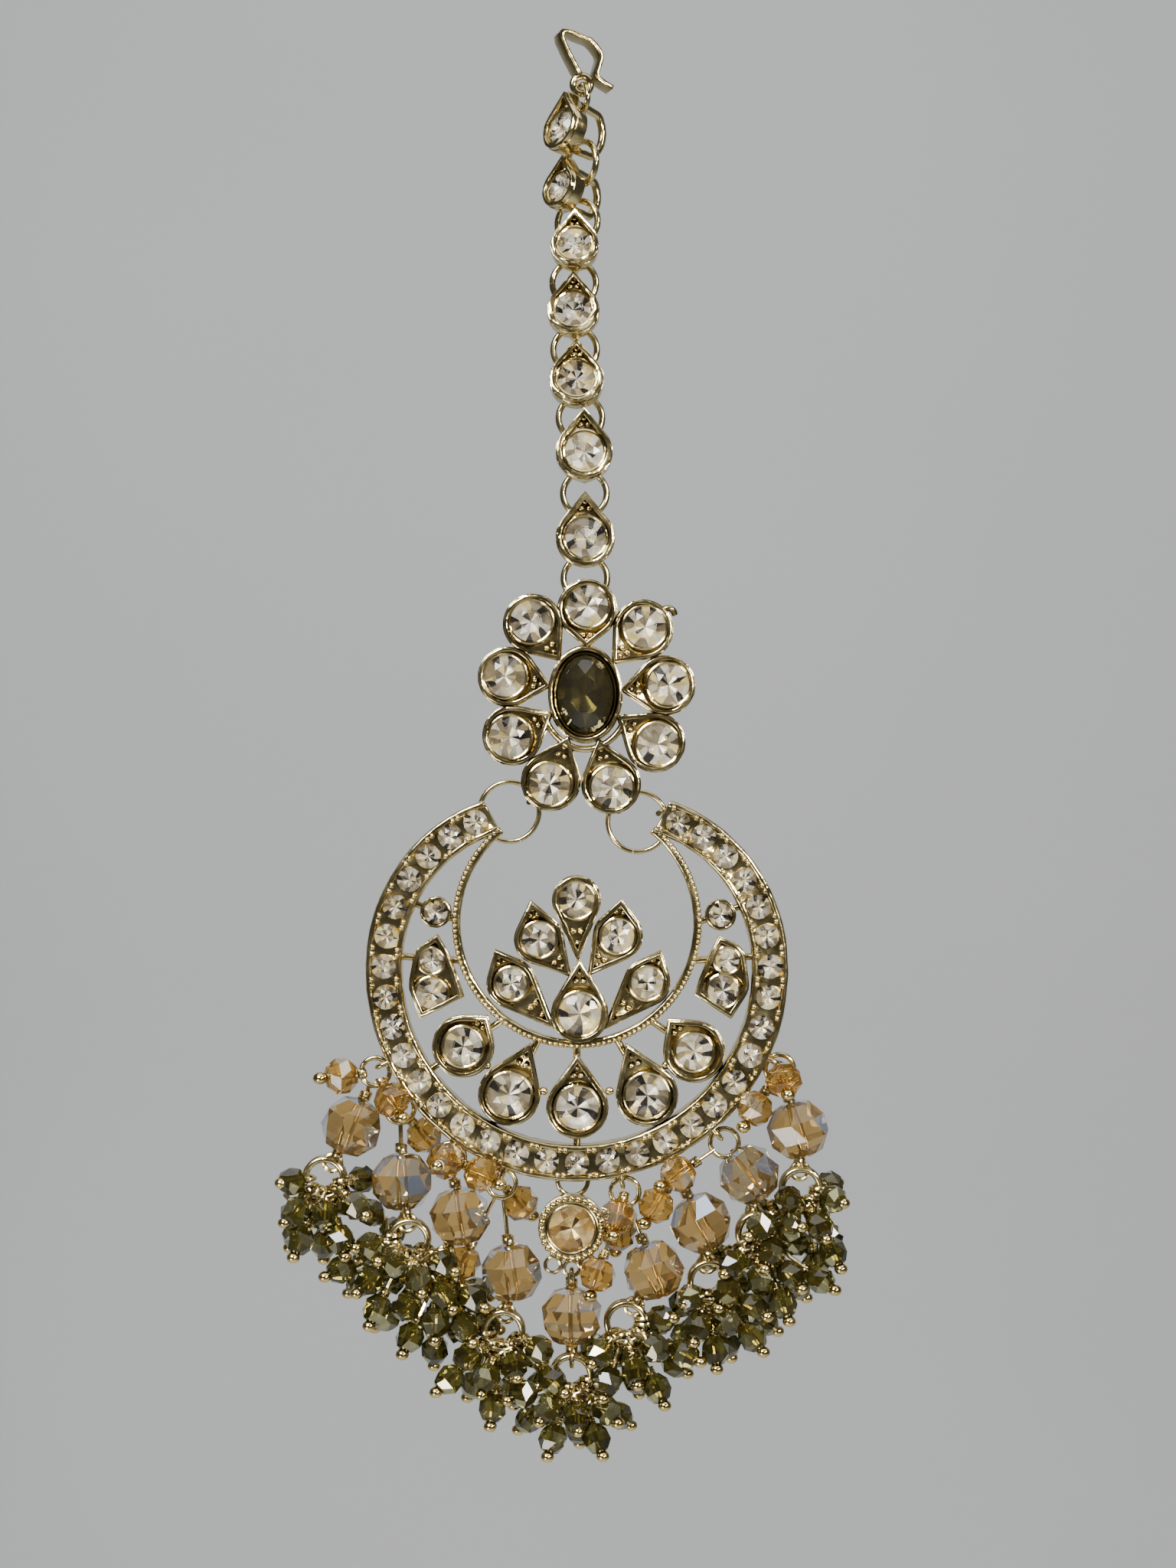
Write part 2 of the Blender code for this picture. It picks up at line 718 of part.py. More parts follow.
def crescent_middle(pivots):
    """The crescent hangs where the taut left ring holds it."""
    reach = polar(2 * JUMP_RING_RADIUS - RING_SLACK, TAUT_DIRECTION)
    held = flower_arch("jump_ring_left", pivots) + Vector((reach.x, 0, reach.y))
    place = held - crescent_arch_offset("jump_ring_left")
    return Vector((place.x, -CRESCENT_BACK, place.z))


def pave_stones(frame):
    """The small stones along the channel."""
    middle = CRESCENT_RADIUS - BAND_WIDTH / 2
    seat = BAND_DEPTH - CHANNEL_DEPTH - SOLDER
    stones = []
    end = band_end() - PAVE_MARGIN
    for index in range(PAVE_COUNT):
        angle = -end + 2 * end * index / (PAVE_COUNT - 1)
        place = down(middle - pulled(angle), angle)
        cut = stone(PAVE_RADIUS, foot=SOLDER)
        stones.append(stand(cut, place.x, seat, place.z, frame))
    return stones


def back_bars(middle):
    """Short solder bars behind the settings, from the inner wire to the band."""
    bars = []
    centre = Vector((0, 0, INNER_RAISE))
    height = -CRESCENT_BACK - 2 * BAR_RADIUS
    for degrees in BAR_ANGLES:
        angle = math.radians(degrees)
        ray = down(1, angle)
        outside = down(CRESCENT_RADIUS - BAND_WIDTH + SOLDER - pulled(angle), angle)
        along = ray.dot(centre)
        reach = along + math.sqrt(along**2 - centre.length_squared + INNER_RADIUS**2)
        ends = [middle + ray * reach, middle + outside]
        for end in ends:
            end.y = height
        bars.append(tube(ends, BAR_RADIUS, PIN_RESOLUTION))
    return bars


def crescent_settings(frame):
    """Cups of the lotus, the drops, the leaves and the rounds, with the small stones fused in."""
    pieces, stones = [], {}
    floor = SETTING_DEPTH - RECESS
    rows = [(name, row, CRESCENT_RADIUS, 0.0) for name, row in SETTINGS.items()]
    rows += [(name, row, INNER_RADIUS, INNER_RAISE) for name, row in LOTUS.items()]
    for name, (across, up, radius, stone_radius, own, points), unit, above in rows:
        drawn = [(distance * unit, degrees) for distance, degrees in points]
        lift = LOTUS_RAISE if name == "lotus_middle" else SETTING_LIFT
        outline = pointed_outline(radius * unit, drawn)
        rim = (radius - stone_radius) * unit - CLEARANCE
        x, z = across * unit, above + up * unit
        pieces.append(stand(tray(outline, SETTING_DEPTH, rim), x, lift, z, frame))
        if own:
            stones[name] = stand(stone(stone_radius * unit), x, lift + floor + CLEARANCE, z, frame)
        else:
            cut = stone(stone_radius * unit, foot=SOLDER)
            pieces.append(stand(cut, x, lift + floor - SOLDER, z, frame))
    unit = CRESCENT_RADIUS
    for (across, up, radius, points), cuts in LEAVES.values():
        drawn = [(distance * unit, degrees) for distance, degrees in points]
        cup = tray(pointed_outline(radius * unit, drawn), SETTING_DEPTH, LEAF_RIM)
        pieces.append(stand(cup, across * unit, SETTING_LIFT, up * unit, frame))
        for side, rise, size in cuts:
            cut = stone(size * unit, foot=SOLDER)
            place = ((across + side) * unit, SETTING_LIFT + floor - SOLDER, (up + rise) * unit)
            pieces.append(stand(cut, *place, frame))
    for across, up in ROUNDS:
        cup = tray(oval_outline(ROUND_RADIUS, ROUND_RADIUS, BEAD_SEGMENTS), SETTING_DEPTH, ROUND_RIM)
        pieces.append(stand(cup, across * unit, SETTING_LIFT, up * unit, frame))
        cut = stone(ROUND_STONE, foot=SOLDER)
        pieces.append(stand(cut, across * unit, SETTING_LIFT + floor - SOLDER, up * unit, frame))
    return pieces, stones


def eyelet_reach():
    """How far an eyelet stands off the rim, so that its ring clears the rim even when it leans."""
    return RIM_RING_RADIUS + LINK_WIRE + CLEARANCE - ring_hang() * EYELET_LEAN


def ring_hang():
    """From the bar that a rim ring hangs on to the ring's middle."""
    return RIM_RING_RADIUS - LINK_WIRE - CLEARANCE - STEM_WIRE


def fringe_plane():
    return -CRESCENT_BACK - BAND_DEPTH / 2


def eyelet_bar(angle, middle):
    """The middle of an eyelet's bar, in the plane of the fringe."""
    place = middle + down(CRESCENT_RADIUS + eyelet_reach() - pulled(angle), angle)
    place.y = fringe_plane()
    return place


def eyelet(angle, middle):
    """A wire eyelet on the rim whose hole runs along the rim."""
    spread = Vector((0, LINK_WIRE + CLEARANCE + STEM_WIRE, 0))
    outward = down(eyelet_reach() + SOLDER, angle)
    foot = eyelet_bar(angle, middle) - outward
    return arch(foot - spread, foot + spread, outward, STEM_WIRE, PIN_RESOLUTION)


def crescent(pivots, look, clear):
    middle = crescent_middle(pivots)
    frame = Matrix.Translation(middle) @ FACING
    base = stand(band(), 0, 0, 0, frame)
    pieces = [base, stand(inner_wire(), 0, 0, 0, frame)]
    settings, stones = crescent_settings(frame)
    pieces += settings
    pieces += back_bars(middle)
    pieces += pave_stones(frame)
    pieces += [eyelet(math.radians(row[0]), middle) for row in DROPS if row[0] is not None]
    bail_turn = math.degrees(QUARTER_TURN + pendant_angle())
    pieces.append(ring_arch(bail_middle(pivots), BAIL_RADIUS, LINK_WIRE, bail_turn, CRESCENT_BACK))
    for name, place in jump_ring_places(pivots).items():
        _, on_crescent = ring_crossings(name, pivots)
        pieces.append(ring_arch(place, JUMP_RING_RADIUS, JUMP_WIRE, on_crescent, CRESCENT_BACK))
    made = [fuse("crescent_frame", pieces, look)]
    made += [fuse(f"stone_{name}", [cut], clear) for name, cut in stones.items()]
    for name, place in jump_ring_places(pivots).items():
        made.append(fuse(name, [ring(JUMP_RING_RADIUS, JUMP_WIRE, place, face_on())], look))
    return made


def pendant_angle():
    """The pendant hangs from the rim in line with the drop that has no rim ring."""
    across = next(row[1] for row in DROPS if row[0] is None)
    return across * CRESCENT_RADIUS / (CRESCENT_RADIUS + PENDANT_HANG)


def pendant_middle(pivots):
    place = crescent_middle(pivots) + down(CRESCENT_RADIUS + PENDANT_HANG, pendant_angle())
    place.y = fringe_plane()
    return place


def bail_middle(pivots):
    """The pendant's bail ring, behind the band, held by an arch close to the band's edge."""
    hold = CRESCENT_RADIUS - SOLDER - 2 * LUG_WIRE - CLEARANCE - LINK_WIRE
    place = crescent_middle(pivots) + down(hold + BAIL_RADIUS, pendant_angle())
    place.y = 0
    return place


def pendant(pivots, look):
    """The small round pendant, its bail through the arch behind the band and the loop below it."""
    middle = pendant_middle(pivots)
    bail = bail_middle(pivots)
    frame = Matrix.Translation(middle + Vector((0, PENDANT_DEPTH / 2, 0))) @ FACING
    outline = oval_outline(PENDANT_RADIUS, PENDANT_RADIUS, PENDANT_STEPS)
    cup = stand(tray(outline, PENDANT_DEPTH, PENDANT_RIM), 0, 0, 0, frame)
    cut = stone(PENDANT_STONE, foot=SOLDER)
    seat = PENDANT_DEPTH - RECESS - SOLDER
    stand(cut, 0, seat, 0, frame)
    inside = middle + Vector((0, 0, PENDANT_RADIUS - PENDANT_RIM))
    neck = tube([bail + down(BAIL_RADIUS, 0), inside], STEM_WIRE, PIN_RESOLUTION)
    pieces = [cup, cut, ring(BAIL_RADIUS, LINK_WIRE, bail, face_on()), neck]
    pieces.append(ring(LOOP_RADIUS, LOOP_WIRE, pendant_loop(pivots), face_on()))
    return [fuse("small_pendant", pieces, look)]


def pendant_loop(pivots):
    return pendant_middle(pivots) + down(PENDANT_RADIUS + LOOP_RADIUS - SOLDER, 0)


def big_bead_place(index, pivots):
    """The big bead's middle: hung under the pendant, or placed from the crescent's middle."""
    rim_angle, across, up, _, _, _ = DROPS[index]
    if rim_angle is None:
        return pendant_loop(pivots) + down(LOOP_RADIUS + PENDANT_BEAD_DROP, 0)
    middle = crescent_middle(pivots)
    return Vector((middle.x + across * CRESCENT_RADIUS, fringe_plane(), middle.z + up * CRESCENT_RADIUS))


def drop(index, pivots, look):
    """One bead drop: its rim ring, the wire, the big bead, a side bead and the loop for its cluster."""
    rim_angle, _, _, lean, _, side = DROPS[index]
    middle = crescent_middle(pivots)
    middle.y = fringe_plane()
    unit = CRESCENT_RADIUS
    ball = big_bead_place(index, pivots)
    if rim_angle is None:
        hold = pendant_loop(pivots) + down(LOOP_RADIUS, 0)
        pieces = [ring(LOOP_RADIUS, LOOP_WIRE, hold, edge_on())]
        pieces.append(tube([hold + down(LOOP_RADIUS, 0), ball], STEM_WIRE, PIN_RESOLUTION))
    else:
        bar = eyelet_bar(math.radians(rim_angle), crescent_middle(pivots))
        toward = (ball - bar).normalized()
        hold = bar + toward * ring_hang()
        pieces = [ring(RIM_RING_RADIUS, LINK_WIRE, hold, face_on())]
        pieces.append(tube([hold + toward * RIM_RING_RADIUS, ball], STEM_WIRE, PIN_RESOLUTION))
    pieces.append(bead(BEAD_RADIUS, BIG_BEAD_BANDS, ball))
    if side:
        small = middle + Vector((side[0] * unit, 0, side[1] * unit))
        toward = (small - hold).normalized()
        pieces.append(tube([hold + toward * RIM_RING_RADIUS, small], STEM_WIRE, PIN_RESOLUTION))
        pieces.append(bead(SMALL_BEAD_RADIUS, BEAD_BANDS, small))
    turn = math.radians(lean)
    loop = ball + down(CLUSTER_DROP - CLUSTER_RING_RADIUS, turn)
    pieces.append(tube([ball, loop - down(LOOP_RADIUS, turn)], STEM_WIRE, PIN_RESOLUTION))
    pieces.append(ring(LOOP_RADIUS, LOOP_WIRE, loop, edge_on(turn)))
    return fuse(f"drop_{index + 1}", pieces, look)


def cluster(index, pivots, look):
    """A ring with olive beads on pins; neighbouring clusters lean forward and back in turn."""
    _, _, _, lean, bunch, _ = DROPS[index]
    hub = big_bead_place(index, pivots) + down(CLUSTER_DROP, math.radians(lean))
    depth = OLIVE_RADIUS + LINK_WIRE + CLEARANCE
    layer = Vector((0, -depth if index % 2 == 0 else depth, 0))
    pieces = [ring(CLUSTER_RING_RADIUS, LINK_WIRE, hub, face_on())]
    for turn, long in BUNCH:
        angle = math.radians(bunch + turn)
        place = hub + down(LONG_PIN if long else PIN_LENGTH, angle) + layer
        pieces.append(tube([hub + down(CLUSTER_RING_RADIUS, angle), place], LOOP_WIRE, PIN_RESOLUTION))
        pieces.append(bead(OLIVE_RADIUS, BEAD_BANDS, place))
    return fuse(f"cluster_{index + 1}", pieces, look)


def group(name, place, objects, collection):
    """Hangs the objects from an empty at this place, leaving them where they are."""
    empty = bpy.data.objects.new(name, None)
    empty.location = place
    collection.objects.link(empty)
    for obj in objects:
        for holder in list(obj.users_collection):
            holder.objects.unlink(obj)
        collection.objects.link(obj)
        obj.parent = empty
        obj.matrix_parent_inverse = Matrix.Translation(-place)


def swing_axis(pivots):
    """The height at which the two jump rings pass through the flower's arches."""
    heights = [flower_arch(name, pivots).z for name in JUMP_RINGS]
    return Vector((flower_middle(pivots).x, 0, sum(heights) / len(heights)))


def main():
    clear_scene()
    gold = material("antique_gold", GOLD, 1.0, 0.32)
    clear = material("clear_stone", CLEAR, 0.0, 0.05)
    dark = material("dark_stone", OLIVE, 0.0, 0.08)
    champagne = material("champagne_bead", CHAMPAGNE, 0.0, 0.08)
    olive = material("olive_bead", OLIVE, 0.0, 0.12)
    collection = bpy.data.collections.new("maang_tikka")
    bpy.context.scene.collection.children.link(collection)

    pivots = station_pivots()
    fixed = [hook(gold), hook_ring(gold)]
    fixed += [station(index, pivots, gold) for index in range(len(STATIONS))]
    fixed += [link(index, pivots, gold) for index in range(len(STATIONS))]
    fixed += flower(pivots, gold, clear, dark)
    group("hanging_point", Vector((0, 0, 0)), fixed, collection)

    swinging = crescent(pivots, gold, clear) + pendant(pivots, gold)
    swinging += [drop(index, pivots, champagne) for index in range(len(DROPS))]
    swinging += [cluster(index, pivots, olive) for index in range(len(DROPS))]
    group("swing_axis", swing_axis(pivots), swinging, collection)


main()
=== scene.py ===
# %% [markdown]
# # A maang tikka, dressed for the camera
# A maang tikka hangs on the forehead from a hook in the hair. This one is a chain of teardrop settings, a
# flower of nine petals and a pierced crescent with a lotus inside it and a fringe of faceted beads.
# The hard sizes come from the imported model. Here each of its plain solids gets the shape and finish that
# the eye sees: rounded cast rims, grains, cut stones in foil, wrapped wire and glass beads.

# %% Load the frame
import bmesh
import bpy
import math
import numpy as np
from mathutils import Matrix, Vector
from mathutils.geometry import convex_hull_2d


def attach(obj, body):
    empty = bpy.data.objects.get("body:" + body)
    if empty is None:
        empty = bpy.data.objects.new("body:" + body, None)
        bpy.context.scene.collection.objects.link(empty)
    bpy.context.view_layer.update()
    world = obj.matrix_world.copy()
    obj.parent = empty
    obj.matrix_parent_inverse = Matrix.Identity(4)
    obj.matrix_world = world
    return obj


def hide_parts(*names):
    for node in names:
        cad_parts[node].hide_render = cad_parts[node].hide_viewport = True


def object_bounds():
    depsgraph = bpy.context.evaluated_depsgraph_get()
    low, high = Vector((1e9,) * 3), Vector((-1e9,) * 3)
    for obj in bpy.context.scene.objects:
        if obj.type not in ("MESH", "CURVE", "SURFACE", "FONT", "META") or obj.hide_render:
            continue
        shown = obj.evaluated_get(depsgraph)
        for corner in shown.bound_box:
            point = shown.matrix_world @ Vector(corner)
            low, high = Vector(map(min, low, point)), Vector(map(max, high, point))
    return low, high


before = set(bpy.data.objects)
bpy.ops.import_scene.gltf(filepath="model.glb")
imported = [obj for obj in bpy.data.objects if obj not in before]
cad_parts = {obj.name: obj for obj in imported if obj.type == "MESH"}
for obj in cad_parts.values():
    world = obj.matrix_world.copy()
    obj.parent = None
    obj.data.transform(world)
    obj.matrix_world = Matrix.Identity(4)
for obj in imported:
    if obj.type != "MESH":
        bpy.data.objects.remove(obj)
cad_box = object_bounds()
MM = 0.001
print("CAD box", [[round(v / MM, 2) for v in corner] for corner in cad_box])

# %% [markdown]
# ## Where things are
# The photograph is nearly flat on, so one scale serves all of it: 10.6 pixels are a millimetre. Flat pieces
# are modelled lying down, with x to the right, y up and z towards the viewer, and are then stood up.

# %% Places
PX_PER_MM = 10.6
HOOK_PX = (756, 47)  # where the middle of the hook's bend is in the photograph
FACING = Matrix.Rotation(math.radians(90), 4, "X")


def at(px, py):
    """A point in the chain's plane from a point of the photograph."""
    return Vector(((px - HOOK_PX[0]) / PX_PER_MM * MM, 0, (HOOK_PX[1] - py) / PX_PER_MM * MM))


def down(distance, degrees):
    """This far away, at an angle from straight down, positive to the right."""
    turn = math.radians(degrees)
    return Vector((distance * math.sin(turn), 0, -distance * math.cos(turn)))


# %% [markdown]
# ## Small tools
# Blender's operators work on what is selected, so each step starts from nothing selected. These helpers
# pick one object or some of its faces and points, extrude, inset, and round the edges with a bevel.

# %% Selecting and shaping
def fresh():
    """Nothing selected."""
    bpy.ops.object.select_all(action="DESELECT")


def whole():
    """In edit mode, all of the mesh selected."""
    bpy.ops.mesh.select_all(action="SELECT")


def only(*objs):
    fresh()
    for obj in objs:
        obj.select_set(True)
    bpy.context.view_layer.objects.active = objs[0]


def pick(obj, kind, test):
    """Goes into edit mode with the points or faces that pass the test selected."""
    only(obj)
    bpy.ops.object.mode_set(mode="EDIT")
    bpy.ops.mesh.select_mode(type=kind)
    bpy.ops.mesh.select_all(action="DESELECT")
    mesh = bmesh.from_edit_mesh(obj.data)
    for item in mesh.verts if kind == "VERT" else mesh.faces:
        if test(item):
            item.select_set(True)
    mesh.select_flush_mode()
    bmesh.update_edit_mesh(obj.data)


def leave(outward=True):
    """Back to object mode, with the faces turned outwards."""
    if outward:
        whole()
        bpy.ops.mesh.normals_make_consistent(inside=False)
    bpy.ops.object.mode_set(mode="OBJECT")


def step(x, y, z):
    bpy.ops.mesh.extrude_region_move(TRANSFORM_OT_translate={"value": (x, y, z)})


def soften(obj, width, limit=35):
    """Rounds the edges sharper than the limit in degrees, as casting and polishing do."""
    only(obj)
    edges = obj.modifiers.new("Edges", "BEVEL")
    edges.width = width * MM
    edges.segments = 2
    edges.limit_method = "ANGLE"
    edges.angle_limit = math.radians(limit)
    edges.use_clamp_overlap = True
    bpy.ops.object.modifier_apply(modifier=edges.name)
    bpy.ops.object.shade_smooth_by_angle(angle=math.radians(38))


# %% [markdown]
# A finished piece keeps its object at the origin, unturned, so it is moved inside its mesh. A copy gets a
# mesh of its own, and the last helper says what body each piece rides.

# %% Moving, copying and handing over
def paint(obj, *looks):
    obj.data.materials.clear()
    for look in looks:
        obj.data.materials.append(look)
    return obj


def copy_to(source, matrix):
    """A copy with a mesh of its own, moved inside the mesh."""
    made = source.copy()
    made.data = source.data.copy()
    bpy.context.scene.collection.objects.link(made)
    made.data.transform(matrix)
    return made


def moved(obj, matrix):
    """Moves a new piece inside its mesh."""
    obj.data.transform(matrix)
    return obj


def shift(x, y, z):
    """A move in millimetres."""
    return Matrix.Translation((x * MM, y * MM, z * MM))


def join(name, objs):
    only(*objs)
    if len(objs) > 1:
        bpy.ops.object.join()
    made = bpy.context.view_layer.objects.active
    made.name = name
    made.data.name = name
    return made


def drop_pattern(*objs):
    for obj in objs:
        bpy.data.objects.remove(obj)


def hand_over(obj, body, slot, *nodes):
    """The finished piece rides a body and stands for the plain nodes."""
    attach(obj, body)
    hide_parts(*nodes)
    print(obj.name, len(obj.data.polygons), "faces")


# %% [markdown]
# ## Finishes
# A finish is a small network of nodes that ends in the Principled shader. The same few nodes make all of
# them here, so each gets a helper: a colour ramp, noise, a mix and a bump.

# %% Node helpers
def new_look(name):
    look = bpy.data.materials.new(name)
    look.use_nodes = True
    nodes, links = look.node_tree.nodes, look.node_tree.links
    return look, nodes, links, nodes["Principled BSDF"]


def tune(node, values):
    for name, value in values.items():
        node.inputs[name].default_value = value


def ramp(nodes, links, source, stops):
    made = nodes.new("ShaderNodeValToRGB")
    links.new(source, made.inputs["Fac"])
    while len(made.color_ramp.elements) < len(stops):
        made.color_ramp.elements.new(0.5)
    for element, (place, colour) in zip(made.color_ramp.elements, stops):
        element.position = place
        element.color = (*colour, 1)
    return made.outputs["Color"]


def noise(nodes, links, scale, detail):
    where = nodes.new("ShaderNodeTexCoord")
    made = nodes.new("ShaderNodeTexNoise")
    tune(made, {"Scale": scale, "Detail": detail})
    links.new(where.outputs["Object"], made.inputs["Vector"])
    return made.outputs["Fac"]


def mix(nodes, links, factor, a, b, blend="MIX"):
    made = nodes.new("ShaderNodeMix")
    made.data_type = "RGBA"
    made.blend_type = blend
    for socket, value in ((made.inputs[0], factor), (made.inputs[6], a), (made.inputs[7], b)):
        if hasattr(value, "is_linked"):
            links.new(value, socket)
        elif isinstance(value, tuple):
            socket.default_value = (*value, 1)
        else:
            socket.default_value = value
    return made.outputs[2]


def bump(nodes, links, height, distance):
    made = nodes.new("ShaderNodeBump")
    tune(made, {"Strength": 0.6, "Distance": distance})
    links.new(height, made.inputs["Height"])
    return made.outputs["Normal"]


# %% [markdown]
# The metal is antique gold plate: pale and warm where hands and cloth polish it, olive-brown in the
# recesses, with the small unevenness of a casting. The dark comes from an ambient occlusion node, which
# finds the recesses, and from noise, so that no two settings look alike.

# %% Metals
def metal(name, light, mid, dark, rough, uneven, reach=0.9):
    """Uneven is the depth of the bumps and reach the width of a recess, both in millimetres."""
    look, nodes, links, shader = new_look(name)
    recess = nodes.new("ShaderNodeAmbientOcclusion")
    recess.samples = 6
    recess.only_local = True
    tune(recess, {"Distance": reach * MM})
    patches = noise(nodes, links, 420, 3.0)
    worn = mix(nodes, links, patches, mid, light)
    deep = ramp(nodes, links, recess.outputs["AO"], ((0.15, (1, 1, 1)), (0.60, (0, 0, 0))))
    links.new(mix(nodes, links, deep, worn, dark), shader.inputs["Base Color"])
    gloss = ramp(nodes, links, patches, ((0.30, (rough,) * 3), (0.75, (rough + 0.15,) * 3)))
    links.new(gloss, shader.inputs["Roughness"])
    skin = noise(nodes, links, 1100, 2.0)
    links.new(bump(nodes, links, skin, uneven * MM), shader.inputs["Normal"])
    tune(shader, {"Metallic": 1.0})
    return look


PALE = (0.88, 0.75, 0.40)
gold = metal("antique gold cast", PALE, (0.36, 0.26, 0.08), (0.090, 0.046, 0.007), 0.07, 0.09)
# The hook's gold is painted darker than the rest, a painted shade for its dark faces; the stub wire shares
# it.
painted_shade_gold = metal("gold strip with painted shade", (0.50, 0.41, 0.20), (0.17, 0.13, 0.05), (0.03, 0.02, 0.005), 0.09, 0.06)
wire_gold = metal("antique gold wire", PALE, (0.38, 0.28, 0.10), (0.06, 0.04, 0.01), 0.08, 0.03, 0.3)
ball_gold = metal(
    "bright gold balls", (0.86, 0.68, 0.28), (0.48, 0.35, 0.11), (0.12, 0.08, 0.02), 0.07, 0.02, 0.3
)

# %% [markdown]
# The stones are clear glass with foil under them, which is what gives cheap stones their fire: light goes
# through the crown, meets the mirror of the foil and comes back. Each facet of a real stone mirrors another
# part of the room, and here that is painted: every facet carries a random tone of its own, a number that the
# finish turns into a painted reflection of light champagne, gold or smoke, and the foil gives off a little
# light of its own, painted light though it is no lamp. The beads have no foil. A thin coat turns some of
# their facets pale lilac.

# %% Foil and glass
TONES = np.random.default_rng(7)


def give_tones(obj):
    """Each facet gets a random number between 0 and 1, kept in the mesh."""
    tone = obj.data.attributes.new("tone", "FLOAT", "FACE")
    tone.data.foreach_set("value", TONES.random(len(obj.data.polygons)).astype(np.float32))
    return obj


def tone_of(nodes):
    made = nodes.new("ShaderNodeAttribute")
    made.attribute_name = "tone"
    return made.outputs["Fac"]


def foil(name, flash, bright, middle, dark, painted_emission, haze=0.6):
    """Four colours of painted reflection for the facets, from rare to dark, also given off as emission, a
    painted light; haze is how much smoke clouds them.
    """
    look, nodes, links, shader = new_look(name)
    stops = ((0.24, dark), (0.38, middle), (0.58, middle), (0.70, bright), (0.86, bright), (0.92, flash))
    # Each facet's random tone picks one of the four colours, a painted reflection from a rare flash to dark.
    painted_reflections = ramp(nodes, links, tone_of(nodes), stops)
    cloud = noise(nodes, links, 900, 1.0)
    smoke = ramp(nodes, links, cloud, ((0.35, (0.45, 0.42, 0.38)), (0.55, (1, 1, 1))))
    colour = mix(nodes, links, haze, painted_reflections, smoke, "MULTIPLY")
    links.new(colour, shader.inputs["Base Color"])
    # The same colours are given off as emission, painted light: the foil is no lamp.
    links.new(colour, shader.inputs["Emission Color"])
    tune(shader, {"Metallic": 0.85, "Roughness": 0.22, "Emission Strength": painted_emission})
    return look


def glass(name, tint, deep, clear, rough=0.0, coat=None, facets=1.0):
    """A coat colours some of the facets; facets is how dark the darkest of them is painted, a painted shade.
    """
    look, nodes, links, shader = new_look(name)
    tune(shader, {"Roughness": rough, "IOR": 1.54, "Transmission Weight": clear})
    tone = tone_of(nodes)
    body = mix(nodes, links, noise(nodes, links, 380, 1.0), tint, deep)
    # Each facet is darkened by its random tone, a painted shade for how facets catch the light.
    shade = ramp(nodes, links, tone, ((0.0, (facets,) * 3), (0.5, (1, 1, 1))))
    body = mix(nodes, links, 1.0, body, shade, "MULTIPLY")
    if coat:
        part = ramp(nodes, links, tone, ((0.76, (0, 0, 0)), (0.82, (1, 1, 1))))
        body = mix(nodes, links, part, body, coat)
        film = ramp(nodes, links, tone, ((0.76, (0, 0, 0)), (0.84, (0.55, 0.55, 0.55))))
        links.new(film, shader.inputs["Metallic"])
    links.new(body, shader.inputs["Base Color"])
    return look


# The foil colours are painted reflections, from a rare yellow flash to dark; the last number is the strength
# of the painted emission.
YELLOW = (1.0, 0.84, 0.40)
silver_foil = foil(
    "champagne foil", YELLOW, (1.0, 0.97, 0.86), (0.34, 0.29, 0.20), (0.035, 0.032, 0.03), 0.36
)
amber_foil = foil("amber foil", YELLOW, (0.98, 0.80, 0.46), (0.56, 0.38, 0.14), (0.12, 0.07, 0.02), 0.16)
dark_foil = foil(
    "olive foil", (0.24, 0.23, 0.06), (0.14, 0.14, 0.06), (0.07, 0.07, 0.035), (0.015, 0.015, 0.008),
    0.02, 0.15,
)
clear_glass = glass("clear glass", (1.0, 0.99, 0.96), (0.98, 0.94, 0.86), 1.0)
# Where given, the last number is how dark the darkest facets are painted, a painted shade.
stone_glass = glass("dark olive glass", (0.34, 0.29, 0.17), (0.25, 0.20, 0.11), 0.97, 0.04, facets=0.45)
champagne_glass = glass(
    "champagne glass", (0.84, 0.57, 0.23), (0.62, 0.38, 0.11), 0.94, 0.01, (0.72, 0.80, 1.0), 0.42
)
peach_glass = glass(
    "peach glass", (0.82, 0.50, 0.13), (0.60, 0.32, 0.05), 0.92, 0.01, (0.98, 0.84, 0.62), 0.42
)
olive_glass = glass(
    "olive glass", (0.24, 0.205, 0.042), (0.075, 0.062, 0.010), 0.90, 0.02, (0.44, 0.42, 0.22), 0.35
)


# %% [markdown]
# ## Cut stones
# A round stone is cut in rings: a wide girdle, a ring of points half way up, the flat table, and below
# them a cone that ends in a point. Drawing only those rings and asking for their convex hull gives every
# facet at once, the way a cutter's lap would. The faces that look down become the foil, and every second
# wedge of them gets a brighter tone, a painted reflection that draws the star that such a stone shows
# from the front.

